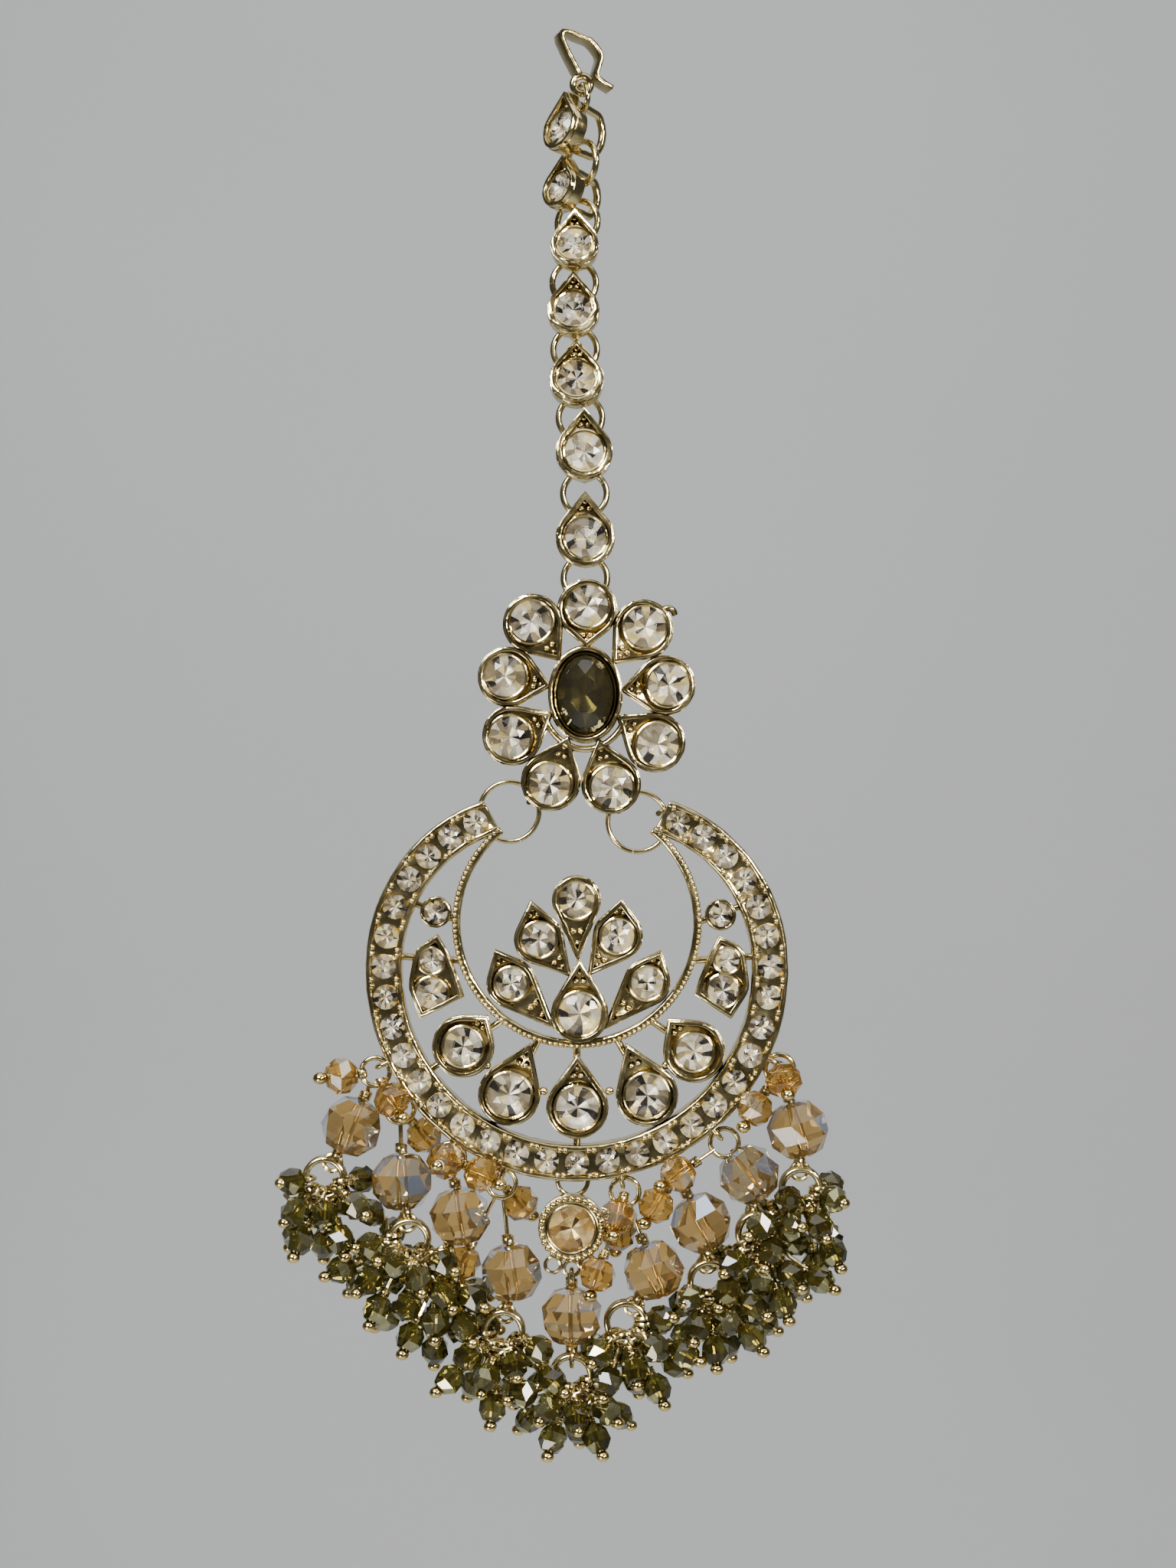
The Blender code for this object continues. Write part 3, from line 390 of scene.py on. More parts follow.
# %% Round and oval stones
def cut_stone(radius, crown, cone, glass_look, foil_look, sides=8, stretch=1.0):
    """Crown is the height over the girdle, cone the depth under it, in millimetres; stretch is for ovals."""
    fresh()
    radius, crown, cone = radius * MM, crown * MM, cone * MM
    half = math.pi / sides
    bpy.ops.mesh.primitive_circle_add(vertices=2 * sides, radius=radius)
    made = bpy.context.object
    bpy.ops.object.mode_set(mode="EDIT")
    rings = (
        (sides, 0.80, 0.52 * crown, half), (sides, 0.50, crown, 0.0),
        (2 * sides, 0.46, -0.66 * cone, half / 2), (sides, 0.05, -cone, 0.0),
    )
    for count, share, height, turn in rings:
        bpy.ops.mesh.primitive_circle_add(
            vertices=count, radius=radius * share, location=(0, 0, height), rotation=(0, 0, turn)
        )
    whole()
    bpy.ops.mesh.convex_hull()
    whole()
    bpy.ops.transform.resize(value=(1, stretch, 1))
    leave()
    paint(made, glass_look, foil_look)
    give_tones(made)
    tone = made.data.attributes["tone"].data
    for face in made.data.polygons:
        face.material_index = int(face.normal.z < -0.05)
        # Every second wedge of the foil gets a brighter tone, a painted reflection that draws the star.
        wedge = math.floor(math.atan2(face.center.y, face.center.x) / half)
        if face.material_index and wedge % 2:
            tone[face.index].value = 0.30 + 0.70 * tone[face.index].value
    return made


# %% [markdown]
# ## Rings and wires
# A jump ring is a short length of wire closed by hand, so it is a spun circle that stops just short of a
# full turn and keeps its seam. Pins and arches are curves with a round bevel, made into meshes. Sizes and
# points are in millimetres.

# %% Rings and wires
def wire_ring(radius, wire, steps, sides=10, look=None, seam=2.0):
    """A ring lying flat about the origin, its seam of some degrees at +x."""
    fresh()
    upright = (math.radians(90), 0, 0)
    bpy.ops.mesh.primitive_circle_add(
        vertices=sides, radius=wire * MM, fill_type="NGON", location=(radius * MM, 0, 0), rotation=upright
    )
    made = moved(bpy.context.object, bpy.context.object.matrix_world)
    made.matrix_world = Matrix.Identity(4)
    bpy.ops.object.mode_set(mode="EDIT")
    whole()
    bpy.ops.mesh.spin(steps=steps, angle=math.radians(360 - seam), center=(0, 0, 0), axis=(0, 0, 1))
    leave()
    only(made)
    bpy.ops.object.shade_smooth_by_angle(angle=math.radians(40))
    return paint(made, look or wire_gold)


def wire(points, radius, look=None, steps=4, sides=2):
    """A smooth wire through the points, with closed ends."""
    fresh()
    bpy.ops.curve.primitive_bezier_curve_add(location=(0, 0, 0))
    made = bpy.context.object
    curve = made.data
    spline = curve.splines[0]
    spline.bezier_points.add(len(points) - len(spline.bezier_points))
    for point, place in zip(spline.bezier_points, points):
        point.co = place * MM
        point.handle_left_type = point.handle_right_type = "AUTO"
    curve.resolution_u = steps
    curve.bevel_depth = radius * MM
    curve.bevel_resolution = sides
    curve.use_fill_caps = True
    only(made)
    bpy.ops.object.convert(target="MESH")
    made = bpy.context.object
    bpy.ops.object.mode_set(mode="EDIT")
    whole()
    bpy.ops.mesh.remove_doubles(threshold=0.001 * MM)
    leave()
    bpy.ops.object.shade_smooth_by_angle(angle=math.radians(50))
    return paint(made, look or wire_gold)


def grain(radius, look=None, detail=2):
    """A solder grain: a ball pressed a little flat."""
    fresh()
    bpy.ops.mesh.primitive_ico_sphere_add(subdivisions=detail, radius=radius * MM)
    made = bpy.context.object
    bpy.ops.object.mode_set(mode="EDIT")
    whole()
    bpy.ops.transform.resize(value=(1, 1, 0.85))
    leave()
    only(made)
    bpy.ops.object.shade_smooth()
    return paint(made, look or gold)


def facing(place, turn=0.0, tilt=0.0, yaw=0.0):
    """Stands a flat piece up at this place, turned in its own plane, tilted back and yawed."""
    stood = Matrix.Rotation(math.radians(yaw), 4, "Z") @ Matrix.Rotation(math.radians(-tilt), 4, "X") @ FACING
    return Matrix.Translation(place) @ stood @ Matrix.Rotation(math.radians(turn), 4, "Z")


# %% [markdown]
# ## The hook
# The hook is a flat strip bent like a hairpin. A short piece of strip is a plane, and each bend is one
# more extrusion of its end edge. Solidify gives the strip its thickness and a bevel its soft edges. It
# stands a little turned, and a plain ring joins its eye to the chain.

# %% Hook
HOOK_LINE = (
    (-0.10, -4.48), (-0.62, -3.70), (-1.14, -2.80), (-1.70, -1.85), (-2.18, -0.90), (-2.52, -0.20),
    (-2.60, 0.34), (-2.36, 0.66), (-1.87, 0.73), (-1.00, 0.55), (0.00, 0.25), (0.70, 0.10), (1.25, -0.11),
    (1.85, -0.62), (2.44, -1.34), (2.62, -1.80), (2.60, -2.24), (2.30, -3.20), (2.03, -4.03), (2.12, -4.45),
    (2.34, -4.76), (3.20, -5.25), (4.16, -5.71),
)
fresh()
bpy.ops.mesh.primitive_plane_add(size=1)
strip = bpy.context.object
pick(strip, "VERT", lambda vert: vert.co.x > 0)
bpy.ops.mesh.delete(type="VERT")
whole()
bpy.ops.transform.resize(value=(1, 2.3 * MM, 1))
bpy.ops.transform.translate(value=(0.5 + HOOK_LINE[0][0] * MM, 0, HOOK_LINE[0][1] * MM))
for (x0, z0), (x1, z1) in zip(HOOK_LINE, HOOK_LINE[1:]):
    step((x1 - x0) * MM, 0, (z1 - z0) * MM)
leave()
solid = strip.modifiers.new("Thickness", "SOLIDIFY")
solid.thickness = 0.62 * MM
solid.offset = 0
solid.use_even_offset = True
bpy.ops.object.modifier_apply(modifier=solid.name)
soften(strip, 0.14, 50)
# The darker gold here is a painted shade.
paint(strip, painted_shade_gold)
moved(strip, Matrix.Rotation(math.radians(20), 4, "Z"))
eye_place = Vector((0.36, 0, -5.48)) * MM
eye = moved(wire_ring(1.1, 0.46, 24, 10), facing(eye_place))
hook = join("hook_strip", [strip, eye])
hand_over(hook, "chain", "antique_gold", "hook")
HOOK_RING = 1.75
ring_place = eye_place + Vector((0, 0, -HOOK_RING * MM))
hook_ring = moved(wire_ring(HOOK_RING, 0.36, 30, 10), facing(ring_place, turn=70, yaw=-65))
hook_ring.name = "hook_ring_wire"
hand_over(hook_ring, "chain", "antique_gold", "hook_ring")


# %% [markdown]
# ## A teardrop setting
# Every setting of the piece is the same idea: a cup whose outline is a string pulled tight round a circle
# and one or more points beside it. The filled outline is raised, stepped in, raised again, inset by the
# rim and sunk, which leaves a stepped rim round a floor. Its back may be drawn in, as a casting's is, so
# that a ring behind it has room to swing.

# %% Cup with a stepped rim
def cup(radius, tips, depth, rim, shelf, sink, points=40, soft=0.10, lobe=None, back=1.0):
    """Sizes in millimetres; a tip is a distance and a direction, a lobe a second circle's x, y and radius."""
    ring = [Vector((math.cos(math.tau * i / points), math.sin(math.tau * i / points))) for i in range(points)]
    spots = [spot * radius for spot in ring]
    for distance, degrees in tips:
        turn = math.radians(degrees)
        spots.append(Vector((math.cos(turn), math.sin(turn))) * distance)
    if lobe:
        spots += [spot * lobe[2] + Vector(lobe[:2]) for spot in ring]
    spots = [spots[index] for index in convex_hull_2d(spots)]
    fresh()
    bpy.ops.mesh.primitive_circle_add(vertices=len(spots), radius=radius * MM, fill_type="NGON")
    made = bpy.context.object
    for vert, spot in zip(made.data.vertices, spots):
        vert.co = (spot.x * MM, spot.y * MM, 0)
    pick(made, "FACE", lambda face: True)
    bpy.ops.mesh.normals_make_consistent(inside=False)
    mesh = bmesh.from_edit_mesh(made.data)
    if next(iter(mesh.faces)).normal.z < 0:
        bpy.ops.mesh.flip_normals()
    step(0, 0, depth * 0.72 * MM)
    bpy.ops.mesh.inset(thickness=shelf * MM, depth=0)
    step(0, 0, depth * 0.28 * MM)
    bpy.ops.mesh.inset(thickness=rim * MM, depth=0)
    step(0, 0, -sink * MM)
    leave()
    pick(made, "VERT", lambda vert: vert.co.z < 0.001 * MM)
    bpy.ops.transform.resize(value=(back, back, 1), center_override=(0, 0, 0))
    leave(False)
    soften(made, soft)
    return paint(made, gold)


def roughen(obj, amount, seed):
    """Moves the points a little at random, as a casting is never quite true."""
    pick(obj, "VERT", lambda vert: True)
    bpy.ops.transform.vertex_random(offset=amount * MM, uniform=1.0, normal=0.0, seed=seed)
    leave(False)
    return obj


def tip_grains(tip, degrees, stone, size, height):
    """Grains that fill the point of a setting, one at the tip and two behind it."""
    turn = math.radians(degrees)
    along = Vector((math.cos(turn), math.sin(turn), 0))
    across = Vector((-along.y, along.x, 0))
    room = tip - stone
    places = [along * (stone + room * 0.56)]
    if room > 1.9:
        places += [along * (stone + room * 0.27) + across * size * side * 1.15 for side in (-1, 1)]
    lift = Vector((0, 0, height))
    return [moved(grain(size), Matrix.Translation((place + lift) * MM)) for place in places]


def collar(radius, wire, height):
    """The round bezel line that presses on a stone."""
    made = wire_ring(radius, wire, 32, 8, gold, seam=0.01)
    return moved(made, shift(0, 0, height))


# %% [markdown]
# ## The chain
# Seven stations hang one under another. Each is a teardrop with a round stone, and a tall D-shaped arch
# stands on its back, so that two plain rings can hold it to its neighbours. The two at the top have turned
# on their links, and so their arches show from the side.

# %% Places along the chain
CHAIN_TOP, CHAIN_LENGTH = -10.6, 50.3
STATIONS = (  # x, share of the length, yaw, tilt, size
    (0.50, 0.000, -50, 12, 0.83), (0.15, 0.150, -46, 12, 0.74), (-0.50, 0.291, 0, 12, 0.81),
    (-0.66, 0.449, 0, 12, 0.88), (-0.28, 0.617, 0, 13, 0.92), (0.66, 0.792, 0, 5, 0.96),
    (0.80, 1.000, 0, 0, 1.00),
)
pivots = []
for side, share, yaw, tilt, size in STATIONS:
    sag = 2.8 * math.sin(math.radians(tilt))
    pivots.append(Vector((side, 0, CHAIN_TOP - CHAIN_LENGTH * share - sag)))
LAST_PITCH = 10.7  # down to the flower's arch
FIRST_HEAD = -8.33  # in the hook's ring
pitches = [a.z - b.z for a, b in zip(pivots, pivots[1:])] + [LAST_PITCH]
feet = [pivot.z - 0.42 * pitch + 0.4 for pivot, pitch in zip(pivots, pitches)]
heads = [pivot.z - 0.665 * pitch - 0.4 for pivot, pitch in zip(pivots, pitches)]
link_radius = 0.245 * max(pitches) / 2 + 0.8 + 0.6
print("link radius", round(link_radius, 2))


# %% Stations and links
def arch_wire(head, foot, inside, reach):
    """The points of an arch behind a piece, from its head round to its foot."""
    rise = (head - foot) * 0.08
    return [
        Vector((0, head, inside)), Vector((0, head, inside - reach * 0.6)),
        Vector((0, head - rise, inside - reach)), Vector((0, foot + rise, inside - reach)),
        Vector((0, foot, inside - reach * 0.6)), Vector((0, foot, inside)),
    ]


for index, ((_, _, yaw, tilt, size), pivot) in enumerate(zip(STATIONS, pivots)):
    radius, height = 3.65 * size, 9.4 * size
    body = cup(radius, ((height - radius, 90),), 2.2, 0.55 * size, 0.16 * size, 1.5, 40, 0.18)
    roughen(body, 0.03, index)
    stone = cut_stone(2.62 * size, 0.85, 0.8, clear_glass, silver_foil)
    moved(stone, shift(0, 0, 1.55) @ Matrix.Rotation(index * 0.7, 4, "Z"))
    parts = [body, stone, collar(2.68 * size, 0.24, 1.70)]
    parts += tip_grains(height - radius, 90, 2.8 * size, 0.42 * size, 1.0)
    for part in parts:
        moved(part, shift(0, radius - height / 2, 1.7))
    head = (heads[index - 1] if index else FIRST_HEAD) - pivot.z
    arch = arch_wire(head, feet[index] - pivot.z, 1.9, 4.2 if yaw else 2.85)
    parts.append(wire(arch, 0.52, gold, 6))
    made = moved(join(f"station_{index + 1}_set", parts), facing(pivot * MM, tilt=tilt, yaw=yaw))
    hand_over(made, "chain", "antique_gold", f"station_{index + 1}")
    last = index == len(STATIONS) - 1
    below = pivot if last else pivots[index + 1]
    next_yaw = 0 if last else STATIONS[index + 1][2]
    middle = Vector(((pivot.x + below.x) / 2, 0, (feet[index] + heads[index]) / 2))
    hung = facing(middle * MM, 40 + 70 * index, 0, (yaw + next_yaw) / 2)
    ring = moved(wire_ring(link_radius, 0.41, 40, 10), hung)
    ring.name = f"link_{index + 1}_wire"
    hand_over(ring, "chain", "antique_gold", f"link_{index + 1}")

# %% [markdown]
# ## The flower
# Nine teardrop cups point inwards at an oval bezel. They were cast in one piece, so their rims run into one
# another where they touch, and the gaps between the points are open. The dark centre stone is an oval cut.

# %% Flower
FLOWER_FRAME = facing(Vector((0.8, -1.5, -81.2)) * MM)
OVAL_WIDE, OVAL_TALL = 4.6, 6.05
PETALS = (
    (0.24, 10.45), (-6.43, 8.64), (-9.51, 2.15), (-8.95, -5.06), (-4.24, -10.66), (3.17, -11.03),
    (8.58, -5.91), (9.82, 1.12), (7.09, 7.96),
)
parts, gems = [], []
for index, (x, y) in enumerate(PETALS):
    inward = math.atan2(-y, -x)
    inner = 1 / math.hypot(math.cos(inward) / OVAL_WIDE, math.sin(inward) / OVAL_TALL)
    tip = math.hypot(x, y) - inner + 0.4
    degrees = math.degrees(inward)
    back = 0.82 if y < -8 else 0.96
    body = cup(3.72, ((tip, degrees),), 2.45, 0.42, 0.20, 1.4, soft=0.16, back=back)
    roughen(body, 0.03, 20 + index)
    out = Vector((x, y, 0)).normalized() * 0.4
    bezel = moved(collar(2.72, 0.24, 1.95), Matrix.Translation(out * MM))
    pieces = [body, bezel] + tip_grains(tip, degrees, 2.45, 0.38, 1.35)
    place = shift(x, y, 0)
    parts += [moved(piece, place) for piece in pieces]
    stone = cut_stone(2.58, 0.80, 0.85, clear_glass, silver_foil)
    spun = Matrix.Rotation(index * 1.3, 4, "Z")
    gems.append(moved(stone, place @ Matrix.Translation(out * MM + Vector((0, 0, 1.95 * MM))) @ spun))
print("petal parts", len(parts))

# %% [markdown]
# The oval bezel is the same cup, stretched, with a thin lip that holds its stone. A swag of wire hangs
# under it between the lower petals, and an old stub of wire stands at the upper right one. Arches on the
# back hold the last link above and the two rings below that carry the crescent.

# %% Oval bezel and arches
oval = cup(OVAL_WIDE, (), 2.9, 0.34, 0.20, 1.9, 56, 0.13)
moved(oval, Matrix.Scale(OVAL_TALL / OVAL_WIDE, 4, (0, 1, 0)))
parts.append(roughen(oval, 0.02, 40))
lip = wire_ring(3.66, 0.20, 48, 8, gold, seam=0.01)
parts.append(moved(lip, shift(0, 0, 1.35) @ Matrix.Scale(1.36, 4, (0, 1, 0))))
swag = []
for degrees in range(-68, 69, 17):
    turn = math.radians(degrees)
    swag.append(Vector((math.sin(turn) * 5.5, -math.cos(turn) * 6.75, 1.9)))
parts.append(wire(swag, 0.42, gold))
stub = [(9.3, 10.2, 1.2), (10.0, 10.6, 1.5), (10.8, 10.3, 1.4), (11.0, 9.8, 1.2)]
# The stub shares the hook's darker gold, a painted shade.
parts.append(wire([Vector(point) for point in stub], 0.40, painted_shade_gold, 3))
oval_stone = cut_stone(3.44, 1.45, 0.92, stone_glass, dark_foil, 9, 1.40)
moved(oval_stone, shift(0, 0, 1.95))

head = heads[-1] + 81.2
parts.append(wire(arch_wire(head, head - 2.4, 0.3, 3.3), 0.4, gold, 5))
JUMP_RADIUS = 3.7
JUMPS = {  # middle, direction of the flower's arch and of the crescent's, and where the seam is
    "jump_ring_left": (Vector((-8.63, 0, -95.63)), 25.7, 197.3, -70),
    "jump_ring_right": (Vector((7.29, 0, -96.9)), 150.9, 22.6, -100),
}


def lug(middle, radius, degrees, back):
    """An arch on the back that a face-on ring passes through, in world millimetres."""
    turn = math.radians(degrees)
    out = Vector((math.cos(turn), 0, math.sin(turn)))
    half = 0.3 + 0.3 + 0.35  # the ring's wire, a gap and the arch's own wire
    foot, knee, top = -back - 0.3, 1.6 * 0.55, 1.6
    points = []
    for share, y in ((-1, foot), (-1, knee), (-0.8, top), (0.8, top), (1, knee), (1, foot)):
        points.append(middle + out * radius + out * half * share + Vector((0, y, 0)))
    return wire(points, 0.35, gold)


flower_parts = moved(join("flower_cast", parts), FLOWER_FRAME)
lugs = [lug(middle, JUMP_RADIUS, on_flower, 1.5) for middle, on_flower, _, _ in JUMPS.values()]
flower_parts = join("flower_cast", [flower_parts] + lugs)
hand_over(flower_parts, "chain", "antique_gold", "flower_frame")
gem_piece = moved(join("flower_petal_stones", gems), FLOWER_FRAME)
hand_over(gem_piece, "chain", "clear_stone", *[f"flower_stone_{index}" for index in range(1, 10)])
oval_stone.name = "flower_oval_stone"
moved(oval_stone, FLOWER_FRAME)
hand_over(oval_stone, "chain", "dark_stone", "flower_centre_stone")

for name, (middle, _, _, seam_turn) in JUMPS.items():
    ring = moved(wire_ring(JUMP_RADIUS, 0.31, 56, 12), facing(middle * MM, seam_turn))
    ring.name = name + "_wire"
    hand_over(ring, "crescent", "antique_gold", name)

# %% [markdown]
# ## The crescent's band
# The band is a channel: its section is drawn as a few edges and spun most of the way round. Its ends draw
# in a little towards the flower. The stones sit shoulder to shoulder, and shared grains hold them.

# %% Band
CRESCENT = Vector((-0.23, -1.0, -115.04))
CRESCENT_FRAME = facing(CRESCENT * MM)
OUTER = 26.0
BAND_STONES = 33
SECTION = (  # radius and height
    (OUTER, 0.0), (OUTER, 1.7), (25.85, 2.4), (25.3, 2.4), (25.25, 1.45), (22.25, 1.45), (22.2, 2.4),
    (21.65, 2.4), (21.5, 1.7), (21.5, 0.0),
)


def draw_in(angle):
    """How far the band comes in towards the flower at this angle."""
    share = max(0.0, abs(angle) - math.radians(95)) / math.radians(56)
    return 2.2 * share**2


def spun_bar(section, end, steps):
    """A section of radius and height, spun about the middle from -end to end."""
    fresh()
    bpy.ops.mesh.primitive_circle_add(vertices=len(section), radius=MM, fill_type="NGON")
    made = bpy.context.object
    for vert, (radius, height) in zip(made.data.vertices, section):
        vert.co = (radius * MM, 0, height * MM)
    moved(made, Matrix.Rotation(math.radians(end - 90), 4, "Z"))
    pick(made, "FACE", lambda face: True)
    bpy.ops.mesh.spin(steps=steps, angle=math.radians(2 * end), center=(0, 0, 0), axis=(0, 0, 1))
    leave()
    return paint(made, gold)


band = spun_bar(SECTION, 151, 132)
for vert in band.data.vertices:
    flat = vert.co.xy
    vert.co.xy = flat * (1 - draw_in(math.atan2(flat.x, -flat.y)) * MM / flat.length)
soften(band, 0.16, 25)
parts = [roughen(band, 0.045, 3)]
pave = []
for index in range(BAND_STONES):
    degrees = -145.5 + 291 * index / (BAND_STONES - 1)
    out = down(23.75 - draw_in(math.radians(degrees)), degrees)
    stone = cut_stone(1.5, 0.55, 0.5, clear_glass, silver_foil)
    spun = Matrix.Rotation(index * 0.9, 4, "Z")
    pave.append(moved(stone, shift(out.x, out.z, 1.98) @ spun))
    for radius in (22.2, 25.25):
        for lean in (-0.9, 0.9):
            if index == BAND_STONES - 1 and lean > 0:
                continue
            between = degrees + 4.55 + lean
            spot = down(radius - draw_in(math.radians(between)), between)
            parts.append(moved(grain(0.42, gold, 1), shift(spot.x, spot.z, 2.35)))
rail = [down(25.85, degrees) for degrees in range(-58, 8, 6)]
parts.append(wire([Vector((p.x, p.z, 0.9)) for p in rail], 0.36, gold, 5))
print("band parts", len(parts))

# %% [markdown]
# The inner wire is a tall thin wall that stands on bars behind the settings. Its front edge is milgrained:
# a wheel with a toothed rim is rolled along it and leaves a row of tiny beads. Its circle sits higher than
# the band's, which is what makes the shape between them a crescent.

# %% Inner wire and bars
RISE = 5.7
MILGRAIN = 111
wall = spun_bar(((15.25, 0.1), (15.3, 2.0), (15.1, 2.2), (14.5, 2.2), (14.3, 2.0), (14.35, 0.1)), 141, 108)
soften(wall, 0.10, 25)
roughen(wall, 0.03, 5)
parts.append(moved(wall, shift(0, RISE, 0)))
bead_pattern = grain(0.36, gold, 1)
for index in range(MILGRAIN):
    spot = down(15.05, -140 + 280 * index / (MILGRAIN - 1))
    parts.append(copy_to(bead_pattern, shift(spot.x, spot.z + RISE, 2.16)))
drop_pattern(bead_pattern)
for degrees in (-112, -94, -55.5, -28.5, 0, 29.5, 55, 94, 111):
    ray = down(1, degrees)
    along = ray.z * RISE
    reach = along + math.sqrt(along**2 - RISE**2 + 14.8**2)
    outside = 21.8 - draw_in(math.radians(degrees))
    ends = [Vector((ray.x * d, ray.z * d, -0.1)) for d in (reach, outside)]
    parts.append(wire(ends, 0.45, gold, 3))
print("with inner wire", len(parts))

# %% [markdown]
# ## The settings inside the crescent
# Three drops and two side drops stand on the band, two leaves with two stones each and two rounds fill the
# sides, and six petals make the lotus. They reuse the teardrop cup with other tips. The big stones are a
# piece of their own, and the small ones stay part of the casting.

# %% Settings
UNIT = OUTER
SETTINGS = (  # name, middle, radius, stone's radius and tips, all in parts of the band's outer radius
    ("drop_left", -0.321, -0.592, 0.148, 0.106, ((0.265, 67),)),
    ("drop_middle", 0.002, -0.653, 0.148, 0.104, ((0.254, 90),)),
    ("drop_right", 0.332, -0.595, 0.148, 0.106, ((0.265, 112),)),
    ("side_left", -0.538, -0.363, 0.148, 0.094, ((0.187, 51),)),
    ("side_right", 0.555, -0.388, 0.148, 0.089, ((0.200, 129),)),
    ("lotus_top", -0.002, 0.330, 0.117, 0.087, ((0.296, 271),)),
    ("lotus_upper_left", -0.180, 0.142, 0.119, 0.083, ((0.192, 102), (0.235, 311))),
    ("lotus_upper_right", 0.194, 0.160, 0.119, 0.081, ((0.175, 85), (0.240, 233))),
    ("lotus_left", -0.310, -0.065, 0.119, 0.077, ((0.181, 116), (0.308, 314))),
    ("lotus_right", 0.332, -0.062, 0.112, 0.079, ((0.170, 66), (0.308, 227))),
    ("lotus_middle", 0.013, -0.207, 0.137, 0.104, ((0.265, 90),)),
    ("leaf_left", -0.677, -0.069, 0.119, 0, ((0.238, 86), (0.156, 338), (0.177, 248))),
    ("leaf_right", 0.695, -0.069, 0.119, 0, ((0.230, 96), (0.146, 200), (0.169, 282))),
    ("round_left", -0.668, 0.272, 0.074, 0.056, ()),
    ("round_right", 0.680, 0.258, 0.074, 0.056, ()),
)
OWN = ("drop_left", "drop_middle", "drop_right", "side_left", "side_right", "lotus_top", "lotus_middle")
LOBES = {"leaf_left": (-0.29, 2.9, 2.3), "leaf_right": (0.42, 2.95, 2.3)}
LEAF_STONES = {
    "leaf_left": ((-0.011, 0.112, 0.060), (-0.011, -0.043, 0.076)),
    "leaf_right": ((0.016, 0.115, 0.060), (-0.004, -0.031, 0.076)),
}
gems = []
for index, (name, across, up, radius, stone_radius, tips) in enumerate(SETTINGS):
    x, y = across * UNIT, up * UNIT
    lift = 0.8 if name == "lotus_middle" else 0.15
    tips = tuple((distance * UNIT, degrees) for distance, degrees in tips)
    small = name.startswith("round")
    rim, shelf = (0.30, 0.06) if small else (0.46, 0.16)
    body = cup(radius * UNIT, tips, 2.0, rim, shelf, 1.3, 32, 0.14, LOBES.get(name))
    pieces = [roughen(body, 0.03, 60 + index)]
    for sx, sy, size in LEAF_STONES.get(name, ((0, 0, stone_radius),)):
        stone = cut_stone(size * UNIT, 0.75, 0.62, clear_glass, silver_foil)
        spot = Vector((sx * UNIT, sy * UNIT, 1.35)) * MM
        moved(stone, Matrix.Translation(spot) @ Matrix.Rotation(index * 1.7 + sy, 4, "Z"))
        stone["own"] = name in OWN
        pieces.append(stone)
        if not small:
            ring = collar(size * UNIT + 0.08, 0.22, 1.5)
            pieces.append(moved(ring, Matrix.Translation((spot.x, spot.y, 0))))
    for distance, degrees in tips:
        if stone_radius:
            pieces += tip_grains(distance, degrees, stone_radius * UNIT + 0.2, 0.40, 1.0)
    for piece in pieces:
        moved(piece, shift(x, y, lift))
        (gems if piece.get("own") else parts).append(piece)
JOINING_BALLS = ((710, 1425), (796, 1425), (636, 1391), (870, 1391), (556, 1391), (950, 1395))
for px, py in JOINING_BALLS:
    spot = at(px, py)
    place = (spot.x - CRESCENT.x * MM, spot.z - CRESCENT.z * MM, 1.2 * MM)
    parts.append(moved(grain(0.55), Matrix.Translation(place)))
cast = moved(join("crescent_cast", parts), CRESCENT_FRAME)
lugs = [lug(middle, JUMP_RADIUS, on_crescent, 1.0) for middle, _, on_crescent, _ in JUMPS.values()]
print("settings", len(SETTINGS), "with", len(gems), "stones of their own")


# %% [markdown]
# ## Eyelets and the small pendant
# Little arches on the rim hold the fringe, and the crescent's casting is complete with them. A round cup
# with a champagne stone hangs on a bail behind the band. A toothed punch left a ring of beads round its
# stone, and three loops below it carry the middle of the fringe.

# %% Rim eyelets
FRINGE_Y = -2.2


def fringe_eyelet(degrees):
    """The middle of the rim eyelet's bar at this angle from straight down, in world millimetres."""
    place = down(OUTER + 1.3 - draw_in(math.radians(degrees)), degrees) + CRESCENT
    return Vector((place.x, FRINGE_Y, place.z))


ANGLES = (-64, -53, -35, -20, None, 12, 26, 40.5, 65)  # the middle drop hangs from the pendant
eyelets = []
for degrees in [angle for angle in ANGLES if angle is not None]:
    bar = fringe_eyelet(degrees)
    out = down(1, degrees)
    points = []
    for back, y in ((-1.5, -0.9), (-0.35, -0.9), (0, -0.55), (0, 0.55), (-0.35, 0.9), (-1.5, 0.9)):
        points.append(bar + out * back + Vector((0, y, 0)))
    eyelets.append(wire(points, 0.3, gold, 3))
PENDANT_LEAN = -1.171
BAIL_RADIUS = 1.9
bail = down(OUTER - 0.3 - 0.7 - 0.3 - 0.3 + BAIL_RADIUS, PENDANT_LEAN) + CRESCENT
bail.y = 0
eyelets.append(lug(bail, BAIL_RADIUS, 90 + PENDANT_LEAN, 1.0))
cast = join("crescent_cast", [cast] + lugs + eyelets)
hand_over(cast, "crescent", "antique_gold", "crescent_frame")
pave_piece = moved(join("crescent_band_stones", pave), CRESCENT_FRAME)
hand_over(pave_piece, "crescent", "clear_stone", "crescent_frame")
gem_piece = moved(join("crescent_main_stones", gems), CRESCENT_FRAME)
hand_over(gem_piece, "crescent", "clear_stone", *[f"stone_{name}" for name in OWN])

